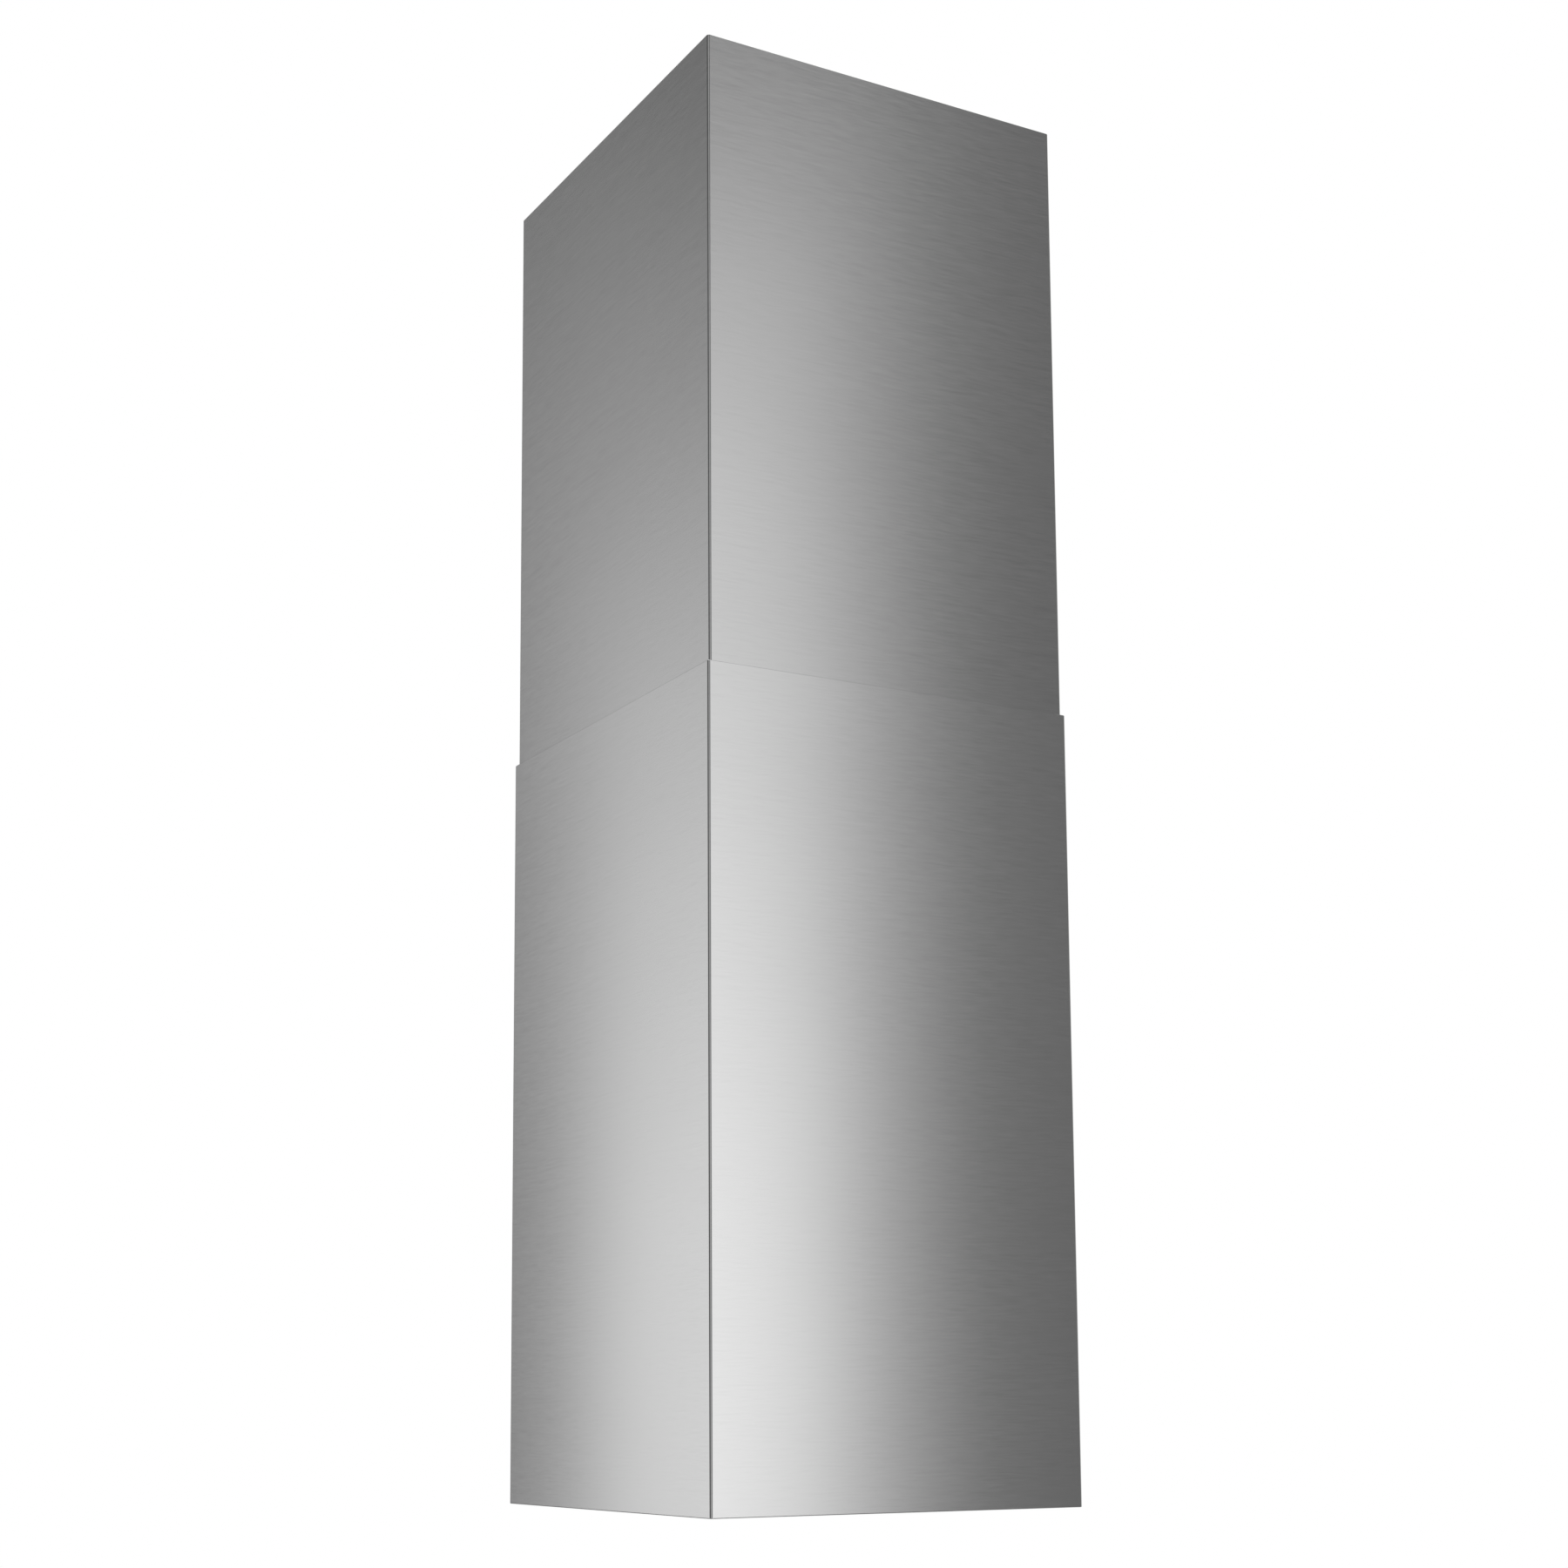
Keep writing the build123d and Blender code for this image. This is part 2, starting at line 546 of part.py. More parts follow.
def scroll_face(grow):
    """Volute outline in the YZ plane: four tangent quarter arcs and an upright outlet neck."""
    s = SCROLL_STEP
    arcs = (
        (FAN_Y, FAN_Z, 1, 1),
        (FAN_Y - s, FAN_Z, 1, -1),
        (FAN_Y - s, FAN_Z + s, -1, -1),
        (FAN_Y, FAN_Z + s, -1, 1),
    )
    face = Pos(FAN_Y - s / 2, FAN_Z + s / 2) * Rectangle(2 * s, 2 * s)
    reach = 2 * SCROLL_R
    for k, (cy, cz, sy, sz) in enumerate(arcs):
        window = Pos(cy + sy * reach / 2, cz + sz * reach / 2) * Rectangle(reach, reach)
        face += Pos(cy, cz) * Circle(SCROLL_R + k * s + grow) & window
    left = FAN_Y - SCROLL_R - 3 * s - grow
    right = FAN_Y + NECK_REACH + grow
    top = CHASSIS_TOP_Z - CHASSIS_T
    neck = Pos((left + right) / 2, (FAN_Z + s + top) / 2) * Rectangle(right - left, top - FAN_Z - s)
    return face + neck


def scroll_solid(grow, half):
    """Volute block of the given half width."""
    return extrude(Plane.YZ * scroll_face(grow), half, both=True)


def scroll_half(side):
    """One moulded half of the volute with its inlet ring."""
    inside = SCROLL_HALF - SCROLL_T
    left = FAN_Y - SCROLL_R - 3 * SCROLL_STEP + SCROLL_T
    right = FAN_Y + NECK_REACH - SCROLL_T
    outer = SCROLL_HALF + INLET_LIP
    sunk = 0.5
    reach = 2 * SCROLL_R
    shell = scroll_solid(0, SCROLL_HALF) - scroll_solid(-SCROLL_T, inside)
    shell -= box(-inside, inside, left, right, FAN_Z + FAN_R + 20, CHASSIS_TOP_Z + CUT)
    mouth = rod_x(INLET_R + INLET_RIM, -outer, outer, FAN_Y, FAN_Z)
    mouth -= rod_x(INLET_R + INLET_RIM + 1, -SCROLL_HALF + sunk, SCROLL_HALF - sunk, FAN_Y, FAN_Z)
    shell += mouth
    shell -= rod_x(INLET_R, -outer - CUT, outer + CUT, FAN_Y, FAN_Z)
    return shell & box(0, side * reach, -reach, reach, FAN_Z - reach, FAN_Z + reach)


def impeller():
    """Double-inlet forward-curved wheel: hub disc, blades and end rings."""
    disc_half, ring_t, ring_in_r = 0.8, 3.0, FAN_IN_R + 1.5
    blade_w, blade_t, blade_lean = 14.5, 1.3, 35
    made = rod_x(FAN_R, -disc_half, disc_half, FAN_Y, FAN_Z)
    made += rod_x(HUB_R, HUB_X0, HUB_X1, FAN_Y, FAN_Z)
    for side in (-1, 1):
        near, far = side * (FAN_HALF - ring_t), side * FAN_HALF
        ring = rod_x(FAN_R, near, far, FAN_Y, FAN_Z)
        made += ring - rod_x(ring_in_r, near - side, far + side, FAN_Y, FAN_Z)
    blade = Pos(0, (FAN_R + FAN_IN_R) / 2, 0) * Rot(blade_lean, 0, 0) * Box(2 * FAN_HALF - 1, blade_w, blade_t)
    for k in range(BLADES):
        made += Pos(0, FAN_Y, FAN_Z) * Rot(k * 360 / BLADES, 0, 0) * blade
    made &= rod_x(FAN_R, -FAN_HALF, FAN_HALF, FAN_Y, FAN_Z)
    return made - rod_x(SHAFT_R, HUB_X0 - CUT, HUB_X1 + CUT, FAN_Y, FAN_Z)


def motor():
    """Motor can inside the wheel, with cooling slots and a bearing boss."""
    vents, vent_l, vent_depth, vent_w = 24, 34.0, 4.0, 3.0
    middle = (MOTOR_X0 + MOTOR_X1) / 2
    can = rod_x(MOTOR_R, MOTOR_X0, MOTOR_X1, FAN_Y, FAN_Z)
    can += rod_x(BEARING_R, MOTOR_X1, BEARING_X, FAN_Y, FAN_Z)
    vent = Pos(middle, MOTOR_R, 0) * Box(vent_l, vent_depth, vent_w)
    for k in range(vents):
        can -= Pos(0, FAN_Y, FAN_Z) * Rot(k * 360 / vents, 0, 0) * vent
    return can - rod_x(SHAFT_R + RUN_FIT, 0, BEARING_X + CUT, FAN_Y, FAN_Z)


def motor_bracket():
    """Ring on the right-hand inlet, with three arms and the hub that holds the motor."""
    ring_x, t, hub_r, hub_gap, hub_wall = SCROLL_HALF + INLET_LIP, 2.0, 18.0, 0.2, 4.0
    arms, arm_mid, arm_l, arm_w = 3, 40.0, 50.0, 9.0
    made = rod_x(INLET_R + INLET_RIM, ring_x, ring_x + t, FAN_Y, FAN_Z)
    made -= rod_x(INLET_R, ring_x - CUT, ring_x + t + CUT, FAN_Y, FAN_Z)
    made += rod_x(hub_r, BEARING_X + hub_gap, ring_x + t, FAN_Y, FAN_Z)
    arm = Pos(ring_x + t / 2, arm_mid, 0) * Box(t, arm_l, arm_w)
    for k in range(arms):
        made += Pos(0, FAN_Y, FAN_Z) * Rot(90 + k * 360 / arms, 0, 0) * arm
    return made - rod_x(SHAFT_R + RUN_FIT, 0, ring_x + t - hub_wall, FAN_Y, FAN_Z)


def run_capacitor():
    """Motor capacitor that stands on the chassis top."""
    x, y, r, tall, stud_r, stud_h = -60.0, -112.0, 14.0, 58.0, 4.0, 6.0
    can = rod(r, CHASSIS_TOP_Z, CHASSIS_TOP_Z + tall, x, y)
    can = fillet(can.edges().sort_by(Axis.Z)[-1], 2)
    return can + rod(stud_r, CHASSIS_TOP_Z + tall, CHASSIS_TOP_Z + tall + stud_h, x, y)


def chassis_body():
    """Folded four-sided housing around the blower."""
    x_in, y_in = CHASSIS_X - CHASSIS_T, CHASSIS_Y - CHASSIS_T
    body = box(-CHASSIS_X, CHASSIS_X, -CHASSIS_Y, CHASSIS_Y, CHASSIS_END_Z, CHASSIS_TOP_Z - CHASSIS_T)
    body -= box(-x_in, x_in, -y_in, y_in, CHASSIS_END_Z - CUT, CHASSIS_TOP_Z)
    for _, sx, sy in corners():
        x0, x1 = sx * CHASSIS_X - CUT, sx * CHASSIS_X + CUT
        for z in CHASSIS_SCREW_Z:
            body -= rod_x(CHASSIS_SCREW_R + RUN_FIT, x0, x1, sy * POST_SCREW_Y, z)
    return body


def blower_parts():
    """Blower, its motor and the chassis around them."""
    top = box(-CHASSIS_X, CHASSIS_X, -CHASSIS_Y, CHASSIS_Y, CHASSIS_TOP_Z - CHASSIS_T, CHASSIS_TOP_Z)
    PARTS["chassis_body"] = chassis_body()
    PARTS["chassis_top_plate"] = top - rod(OUTLET_R, CHASSIS_TOP_Z - CUT, CHASSIS_TOP_Z + CUT)
    PARTS["scroll_left_half"] = scroll_half(-1)
    PARTS["scroll_right_half"] = scroll_half(1)
    PARTS["impeller"] = impeller()
    PARTS["motor"] = motor()
    PARTS["motor_bracket"] = motor_bracket()
    PARTS["motor_shaft"] = rod_x(SHAFT_R, SHAFT_X0, SCROLL_HALF, FAN_Y, FAN_Z)
    PARTS["run_capacitor"] = run_capacitor()


# ---- power box ----------------------------------------------------------------------------
POWER_X = 100.0
POWER_Y0, POWER_Y1 = 94.0, 134.0
POWER_H = 60.0
POWER_WALL = 2.0
BOARD_T = 1.6
BOARD_LIFT = 7.0
GLAND_Z = CHASSIS_TOP_Z + 24.0
GLAND_R = 6.0
SUPPLY_R = 3.4           # bore of the gland for the supply cable


def power_box():
    """Box with bosses for the board and a hole for the gland."""
    z0, z1 = CHASSIS_TOP_Z, CHASSIS_TOP_Z + POWER_H
    boss_r, boss_y = 3.0, 10.0
    tub = box(-POWER_X, POWER_X, POWER_Y0, POWER_Y1, z0, z1)
    tub -= box(-POWER_X + POWER_WALL, POWER_X - POWER_WALL, POWER_Y0 + POWER_WALL, POWER_Y1 - POWER_WALL,
               z0 + POWER_WALL, z1 + CUT)
    for x in (-POWER_X + 12, POWER_X - 36):
        for y in (POWER_Y0 + boss_y, POWER_Y1 - boss_y):
            tub += rod(boss_r, z0 + POWER_WALL / 2, z0 + BOARD_LIFT, x, y)
    return tub - rod_x(GLAND_R + RUN_FIT, POWER_X - CUT, POWER_X + CUT, (POWER_Y0 + POWER_Y1) / 2, GLAND_Z)


def power_box_lid():
    """Lid with a row of cooling slots."""
    z1 = CHASSIS_TOP_Z + POWER_H
    edge, slots, pitch, half_slot, inset = 1.0, 7, 20.0, 6.0, 8.0
    lid = box(-POWER_X - edge, POWER_X + edge, POWER_Y0 - edge, POWER_Y1 + edge, z1, z1 + POWER_WALL)
    for k in range(slots):
        x = (k - (slots - 1) / 2) * pitch
        lid -= box(x - half_slot, x + half_slot, POWER_Y0 + inset, POWER_Y1 - inset, z1 - CUT, z1 + CUT)
    return lid


def power_board():
    """Board with its transformer."""
    z0 = CHASSIS_TOP_Z + BOARD_LIFT
    z1 = z0 + BOARD_T
    board = box(-POWER_X + 6, POWER_X - 30, POWER_Y0 + 5, POWER_Y1 - 5, z0, z1)
    return board + box(-60, -20, POWER_Y0 + 9, POWER_Y1 - 9, z1, CHASSIS_TOP_Z + 34)


def cable_gland():
    """Screwed gland with a hexagon collar."""
    y = (POWER_Y0 + POWER_Y1) / 2
    inside, outside, collar_r, collar_t = 3.0, 12.0, 10.0, 6.0
    gland = rod_x(GLAND_R, POWER_X - inside, POWER_X + outside, y, GLAND_Z)
    gland += Pos(POWER_X, y, GLAND_Z) * Rot(0, 90, 0) * extrude(RegularPolygon(collar_r, 6), collar_t)
    return gland - rod_x(SUPPLY_R, POWER_X - inside - CUT, POWER_X + outside + CUT, y, GLAND_Z)


def power_parts():
    """Power board box on the chassis top, behind the duct."""
    PARTS["power_box"] = power_box()
    PARTS["power_box_lid"] = power_box_lid()
    PARTS["power_board"] = power_board()
    PARTS["cable_gland"] = cable_gland()


# ---- underside ----------------------------------------------------------------------------
FILTER_X = 92.0
FILTER_Y0, FILTER_Y1 = -98.0, 148.0
FILTER_H = 12.0
FILTER_T = 1.0
FILTER_LIP = 9.0
HINGE_Y = 145.0
HINGE_Z = TRAY_Z + 5.0
LAMP_X, LAMP_Y, LAMP_R = 115.5, 20.0, 19.5
LAMP_WALL = 2.5
BUTTON_Y = -130.0
BUTTON_PITCH = 24.0
BUTTON_R = 5.0
BUTTON_NAMES = ("light", "off", "speed_1", "speed_2", "speed_3")
SWITCH_H = 2.8
SWITCH_GAP = 2.0         # free space between a button at rest and its switch


def button_x(k):
    """Place of a push button along the control strip."""
    return (k - (len(BUTTON_NAMES) - 1) / 2) * BUTTON_PITCH


def tray():
    """Stainless underside tray with the filter opening, lamp and button holes and hinge ears."""
    gap, lamp_gap, button_gap = 0.15, 0.3, 0.4
    ear_t, ear_half, ear_h = 1.2, 5.0, 4.0
    w = COVER_W - 4 * SHEET - 2 * gap
    d = COVER_D - 4 * SHEET - 2 * gap
    x = FILTER_X + 1
    low, high = TRAY_Z - CUT, TRAY_TOP_Z + 1
    made = rounded(w, d, 1.0, TRAY_Z, TRAY_Z + TRAY_H)
    made -= rounded(w - 2 * TRAY_T, d - 2 * TRAY_T, 0.5, TRAY_TOP_Z, TRAY_Z + TRAY_H + CUT)
    made -= box(-x, x, FILTER_Y0 - 1, FILTER_Y1 + 3, low, high)
    for side in (-1, 1):
        made -= rod(LAMP_R + lamp_gap, low, high, side * LAMP_X, LAMP_Y)
        ear = box(side * x, side * (x + ear_t), HINGE_Y - ear_half, HINGE_Y + ear_half,
                  TRAY_Z + 2 * TOUCH, HINGE_Z + ear_h)
        made += ear - rod_x(PIN_R + RUN_FIT, side * (x - CUT), side * (x + CUT), HINGE_Y, HINGE_Z)
    for k in range(len(BUTTON_NAMES)):
        made -= rod(BUTTON_R + button_gap, low, high, button_x(k), BUTTON_Y)
    for _, sx, sy in corners():
        made -= rod(TRAY_SCREW_R + RUN_FIT, low, high, sx * TRAY_SCREW_X, sy * TRAY_SCREW_Y)
    return made


def tray_screws():
    """Screws up through the tray into the posts' feet, with domed cross heads below."""
    head_r, head_t, head_round, past = 3.8, 2.2, 1.0, 5.0
    made = []
    for _, sx, sy in corners():
        x, y = sx * TRAY_SCREW_X, sy * TRAY_SCREW_Y
        head = rod(head_r, TRAY_Z - head_t, TRAY_Z, x, y)
        head = fillet(head.edges().sort_by(Axis.Z)[0], head_round)
        screw = head + rod(TRAY_SCREW_R, TRAY_Z, TRAY_TOP_Z + FOOT_T + past, x, y)
        made.append(screw - cross_recess(Pos(x, y, TRAY_Z - head_t), head_r))
    return group(made)


def filter_frame():
    """Stainless channel frame of the baffle filter, with its two hinge pins."""
    z0, z1, t, lip = TRAY_Z, TRAY_Z + FILTER_H, FILTER_T, FILTER_LIP
    pin_in, pin_out = 3.0, 5.0
    made = box(-FILTER_X, FILTER_X, FILTER_Y0, FILTER_Y1, z0, z1)
    made -= box(-FILTER_X + t, FILTER_X - t, FILTER_Y0 + t, FILTER_Y1 - t, z0 + t, z1 - t)
    made -= box(-FILTER_X + lip, FILTER_X - lip, FILTER_Y0 + lip, FILTER_Y1 - lip, z0 - CUT, z1 + CUT)
    for side in (-1, 1):
        made += rod_x(PIN_R, side * (FILTER_X - pin_in), side * (FILTER_X + pin_out), HINGE_Y, HINGE_Z)
    return made


def baffle(x, z, rise):
    """One folded channel that runs front to rear; its legs go up or down by rise."""
    half, t, inset = 9.5, 0.8, 1.2
    y0, y1 = FILTER_Y0 + inset, FILTER_Y1 - inset
    start = z if rise > 0 else z + t
    made = box(x - half, x + half, y0, y1, z, z + t)
    for side in (-1, 1):
        made += box(x + side * half, x + side * (half - t), y0, y1, start, start + rise)
    return made


def filter_baffles():
    """Two staggered layers of channels: grease hits one and runs down the other."""
    pitch, leg, below, above = 24.0, 5.6, 1.2, 2.0
    lower = [baffle(k * pitch, TRAY_Z + below, leg) for k in range(-3, 4)]
    upper = [baffle((k + 0.5) * pitch, TRAY_Z + FILTER_H - above, -leg) for k in range(-3, 3)]
    return group(lower + upper)


def filter_pull():
    """Folded finger pull under the filter's front edge."""
    y, z = FILTER_Y0 + 2.0, TRAY_Z
    t, foot, lip, lip_z, drop, half_w = 1.2, 6.0, 5.0, 5.5, 6.5, 28.0
    profile = Polyline(
        (y, z), (y + foot, z), (y + foot, z - t), (y + t, z - t), (y + t, z - lip_z), (y + lip, z - lip_z),
        (y + lip, z - drop), (y, z - drop), close=True)
    return extrude(make_face(Plane.YZ * profile), half_w, both=True)


def filter_magnets():
    """Two block magnets on the tray that hold the filter's front edge up."""
    x, half_w, deep, gap, tall = 60.0, 8.0, 8.0, 1.0, 7.0
    y = FILTER_Y0 - gap
    made = []
    for side in (-1, 1):
        made.append(box(side * x - half_w, side * x + half_w, y - deep, y, TRAY_TOP_Z, TRAY_TOP_Z + tall))
    return group(made)


def lamps():
    """Recessed lamp bodies, their lenses and LED boards."""
    bezel_r, bezel_t, tall, deep = 21.3, 1.5, 20.0, 14.0
    lens_low, lens_high = 1.2, 1.8
    board_r, board_low, board_high = 13.0, 12.0, 13.9
    bore = LAMP_R - LAMP_WALL
    cans, lenses, boards = [], [], []
    for side in (-1, 1):
        x = side * LAMP_X
        can = rod(LAMP_R, TRAY_Z - 2 * TOUCH, TRAY_Z + tall, x, LAMP_Y)
        can += rod(bezel_r, TRAY_Z - TOUCH - bezel_t, TRAY_Z - TOUCH, x, LAMP_Y)
        cans.append(can - rod(bore, TRAY_Z - CUT, TRAY_Z + deep, x, LAMP_Y))
        lenses.append(rod(bore - TOUCH, TRAY_Z - lens_low, TRAY_Z + lens_high, x, LAMP_Y))
        boards.append(rod(board_r, TRAY_Z + board_low, TRAY_Z + board_high, x, LAMP_Y))
    PARTS["lamp_bodies"] = group(cans)
    PARTS["lamp_lenses"] = group(lenses)
    PARTS["lamp_boards"] = group(boards)


def controls():
    """Control case on the tray, its switch board and five push buttons."""
    half, wall, tall = 66.0, 1.5, 18.0
    y0, y1 = BUTTON_Y - 18, BUTTON_Y + 16
    z0, z1 = TRAY_TOP_Z, TRAY_TOP_Z + tall
    boss_x, boss_r = 56.0, 3.0
    board_half, board_inset, board_z, switch_half = 62.0, 3.0, z1 - 6.0, 3.0
    show, cap_round, flange_w, flange_gap, flange_t = 1.6, 0.6, 1.5, 0.4, 1.2
    case = box(-half, half, y0, y1, z0, z1)
    case -= box(-half + wall, half - wall, y0 + wall, y1 - wall, z0 - CUT, z1 - wall)
    for x in (-boss_x, boss_x):
        case += rod(boss_r, board_z + BOARD_T, z1 - 1, x, BUTTON_Y)
    board = box(-board_half, board_half, y0 + board_inset, y1 - board_inset, board_z, board_z + BOARD_T)
    for k, name in enumerate(BUTTON_NAMES):
        x = button_x(k)
        board += box(x - switch_half, x + switch_half, BUTTON_Y - switch_half, BUTTON_Y + switch_half,
                     board_z - SWITCH_H, board_z)
        cap = rod(BUTTON_R, TRAY_Z - show, board_z - SWITCH_H - SWITCH_GAP, x, BUTTON_Y)
        cap = fillet(cap.edges().sort_by(Axis.Z)[0], cap_round)
        z = TRAY_TOP_Z + flange_gap
        PARTS["button_" + name] = cap + rod(BUTTON_R + flange_w, z, z + flange_t, x, BUTTON_Y)
    PARTS["control_case"] = case
    PARTS["control_board"] = board


def underside():
    """Everything on and in the tray."""
    PARTS["bottom_tray"] = tray()
    PARTS["tray_screws"] = tray_screws()
    PARTS["filter_frame"] = filter_frame()
    PARTS["filter_baffles"] = filter_baffles()
    PARTS["filter_pull"] = filter_pull()
    PARTS["filter_magnets"] = filter_magnets()
    lamps()
    controls()


def main():
    covers()
    ceiling_frame()
    duct_parts()
    blower_parts()
    power_parts()
    underside()
    for name, shape in PARTS.items():
        export_step(shape, "parts/" + name + ".step")
    print(len(PARTS), "nodes")


main()
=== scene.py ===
"""Column-type island range hood: finishes, small fittings, studio and camera.

Two telescoping covers of horizontally brushed stainless steel hang from a ceiling plate. The frame, the duct,
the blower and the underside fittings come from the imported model. This script gives every one of them its real
material, adds the small moulded and stamped details, and sets the studio.
"""

import math

import bmesh
import bpy
from mathutils import Matrix, Vector


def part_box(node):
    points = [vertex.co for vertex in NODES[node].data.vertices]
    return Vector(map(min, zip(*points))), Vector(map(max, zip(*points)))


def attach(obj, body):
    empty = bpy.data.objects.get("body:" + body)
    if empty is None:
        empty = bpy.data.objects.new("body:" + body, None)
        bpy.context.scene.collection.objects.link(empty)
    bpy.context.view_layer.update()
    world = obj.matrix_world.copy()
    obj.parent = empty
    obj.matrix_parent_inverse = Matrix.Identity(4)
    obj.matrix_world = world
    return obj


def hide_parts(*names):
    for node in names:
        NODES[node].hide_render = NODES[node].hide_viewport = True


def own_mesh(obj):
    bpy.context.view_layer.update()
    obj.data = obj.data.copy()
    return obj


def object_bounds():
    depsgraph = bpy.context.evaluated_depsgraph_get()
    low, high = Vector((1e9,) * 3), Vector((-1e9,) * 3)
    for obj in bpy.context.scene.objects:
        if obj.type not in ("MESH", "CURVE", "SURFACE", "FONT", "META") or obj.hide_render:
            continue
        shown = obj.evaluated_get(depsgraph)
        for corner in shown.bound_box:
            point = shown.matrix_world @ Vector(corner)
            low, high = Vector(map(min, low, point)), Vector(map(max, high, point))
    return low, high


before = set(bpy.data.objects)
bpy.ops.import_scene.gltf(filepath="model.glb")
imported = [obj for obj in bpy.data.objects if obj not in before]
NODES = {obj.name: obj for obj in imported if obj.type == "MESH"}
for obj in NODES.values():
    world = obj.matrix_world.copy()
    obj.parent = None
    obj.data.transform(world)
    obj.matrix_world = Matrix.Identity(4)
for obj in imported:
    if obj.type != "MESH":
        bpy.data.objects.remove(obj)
CAD_LOW, CAD_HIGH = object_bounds()

bl_info = {
    "name": "Island range hood",
    "version": (1, 0, 0),
    "blender": (4, 5, 0),
    "location": "View3D > Sidebar > Range hood",
    "description": "Finishes, fittings and studio of a column-type island range hood",
    "category": "Object",
}

MM = 0.001

# Corrugated hose: 8 strips of 14 folds make its 56 ribs.
HOSE_STRIPS, FOLDS_PER_STRIP = 8, 14
HOSE_VALLEY_RADIUS = 76.9 * MM
HOSE_WALL = 0.6 * MM

# LED chips stand in a ring on each lamp board.
LED_COUNT, LED_RING, LED_SIZE, LED_HEIGHT = 6, 7.5 * MM, 3.0 * MM, 0.8 * MM

# The camera's place is measured from the front left bottom corner of the covers.
COVER_DEPTH = 0.33
CAMERA_FROM_CORNER = (-0.7787, -1.4720, 0.0746)


# ---- colour and node helpers --------------------------------------------------------------
def linear(hex_colour, alpha=1.0):
    """sRGB hex such as #c0c0bd as linear RGBA."""
    text = hex_colour.lstrip("#")
    values = [int(text[i : i + 2], 16) / 255 for i in (0, 2, 4)]
    return tuple(v / 12.92 if v <= 0.04045 else ((v + 0.055) / 1.055) ** 2.4 for v in values) + (alpha,)


def node(tree, kind, inputs=None, **settings):
    """Adds a node, sets its properties and fills or links its inputs."""
    made = tree.nodes.new(kind)
    for key, value in settings.items():
        setattr(made, key, value)
    for key, value in (inputs or {}).items():
        if isinstance(value, bpy.types.NodeSocket):
            tree.links.new(value, made.inputs[key])
        else:
            made.inputs[key].default_value = value
    return made


def ramp(tree, factor, stops, mode="EASE"):
    """Colour ramp with the given stops of (place, grey or RGBA)."""
    made = node(tree, "ShaderNodeValToRGB", {"Fac": factor})
    band = made.color_ramp
    band.interpolation = mode
    while len(band.elements) < len(stops):
        band.elements.new(0.5)
    for element, (place, tone) in zip(band.elements, stops):
        element.position = place
        element.color = tone if isinstance(tone, tuple) else (tone, tone, tone, 1.0)
    return made


def profile(tree, value, stops):
    """Strength along one direction; the ramp spans only its own stops, so that it stays sharp."""
    low, high = stops[0][0], stops[-1][0]
    share = node(tree, "ShaderNodeMapRange", {"Value": value, "From Min": low, "From Max": high})
    shares = [((at - low) / (high - low), v) for at, v in stops]
    return ramp(tree, share.outputs["Result"], shares, "LINEAR").outputs["Color"]


def new_material(name):
    """Empty node material with its output and Principled shader."""
    material = bpy.data.materials.new(name)
    material.use_nodes = True
    tree = material.node_tree
    tree.nodes.clear()
    shader = node(tree, "ShaderNodeBsdfPrincipled")
    node(tree, "ShaderNodeOutputMaterial", {"Surface": shader.outputs["BSDF"]})
    return material, tree, shader


def pattern_space(tree, scale):
    """Object coordinates scaled per axis; one unit is one pattern period."""
    place = node(tree, "ShaderNodeTexCoord")
    return node(tree, "ShaderNodeMapping", {"Vector": place.outputs["Object"], "Scale": scale}).outputs["Vector"]


def paint(material, *names):
    """Gives CAD nodes their material."""
    for name in names:
        mesh = NODES[name].data
        mesh.materials.clear()
        mesh.materials.append(material)


def noise(tree, scale, **inputs):
    """Noise pattern of the given scale per axis."""
    inputs = {key.title(): value for key, value in inputs.items()}
    inputs.update({"Vector": pattern_space(tree, scale), "Scale": 1.0})
    return node(tree, "ShaderNodeTexNoise", inputs).outputs["Fac"]


def tinted(colour, factor):
    """The colour made darker or lighter, at most white."""
    return tuple(min(1.0, c * factor) for c in colour[:3]) + (1.0,)


def colour_by(tree, shader, pattern, stops, mode="EASE"):
    """Base colour that follows a pattern."""
    tree.links.new(ramp(tree, pattern, stops, mode).outputs["Color"], shader.inputs["Base Color"])


def gloss_by(tree, shader, pattern, **limits):
    """Roughness that follows a pattern."""
    inputs = {"Value": pattern, **{key.replace("_", " ").title(): value for key, value in limits.items()}}
    rough = node(tree, "ShaderNodeMapRange", inputs)
    tree.links.new(rough.outputs["Result"], shader.inputs["Roughness"])


def relief(tree, shader, height, strength, distance):
    """Fine surface relief that follows a pattern."""
    bump = node(tree, "ShaderNodeBump", {"Strength": strength, "Distance": distance, "Height": height})
    tree.links.new(bump.outputs["Normal"], shader.inputs["Normal"])


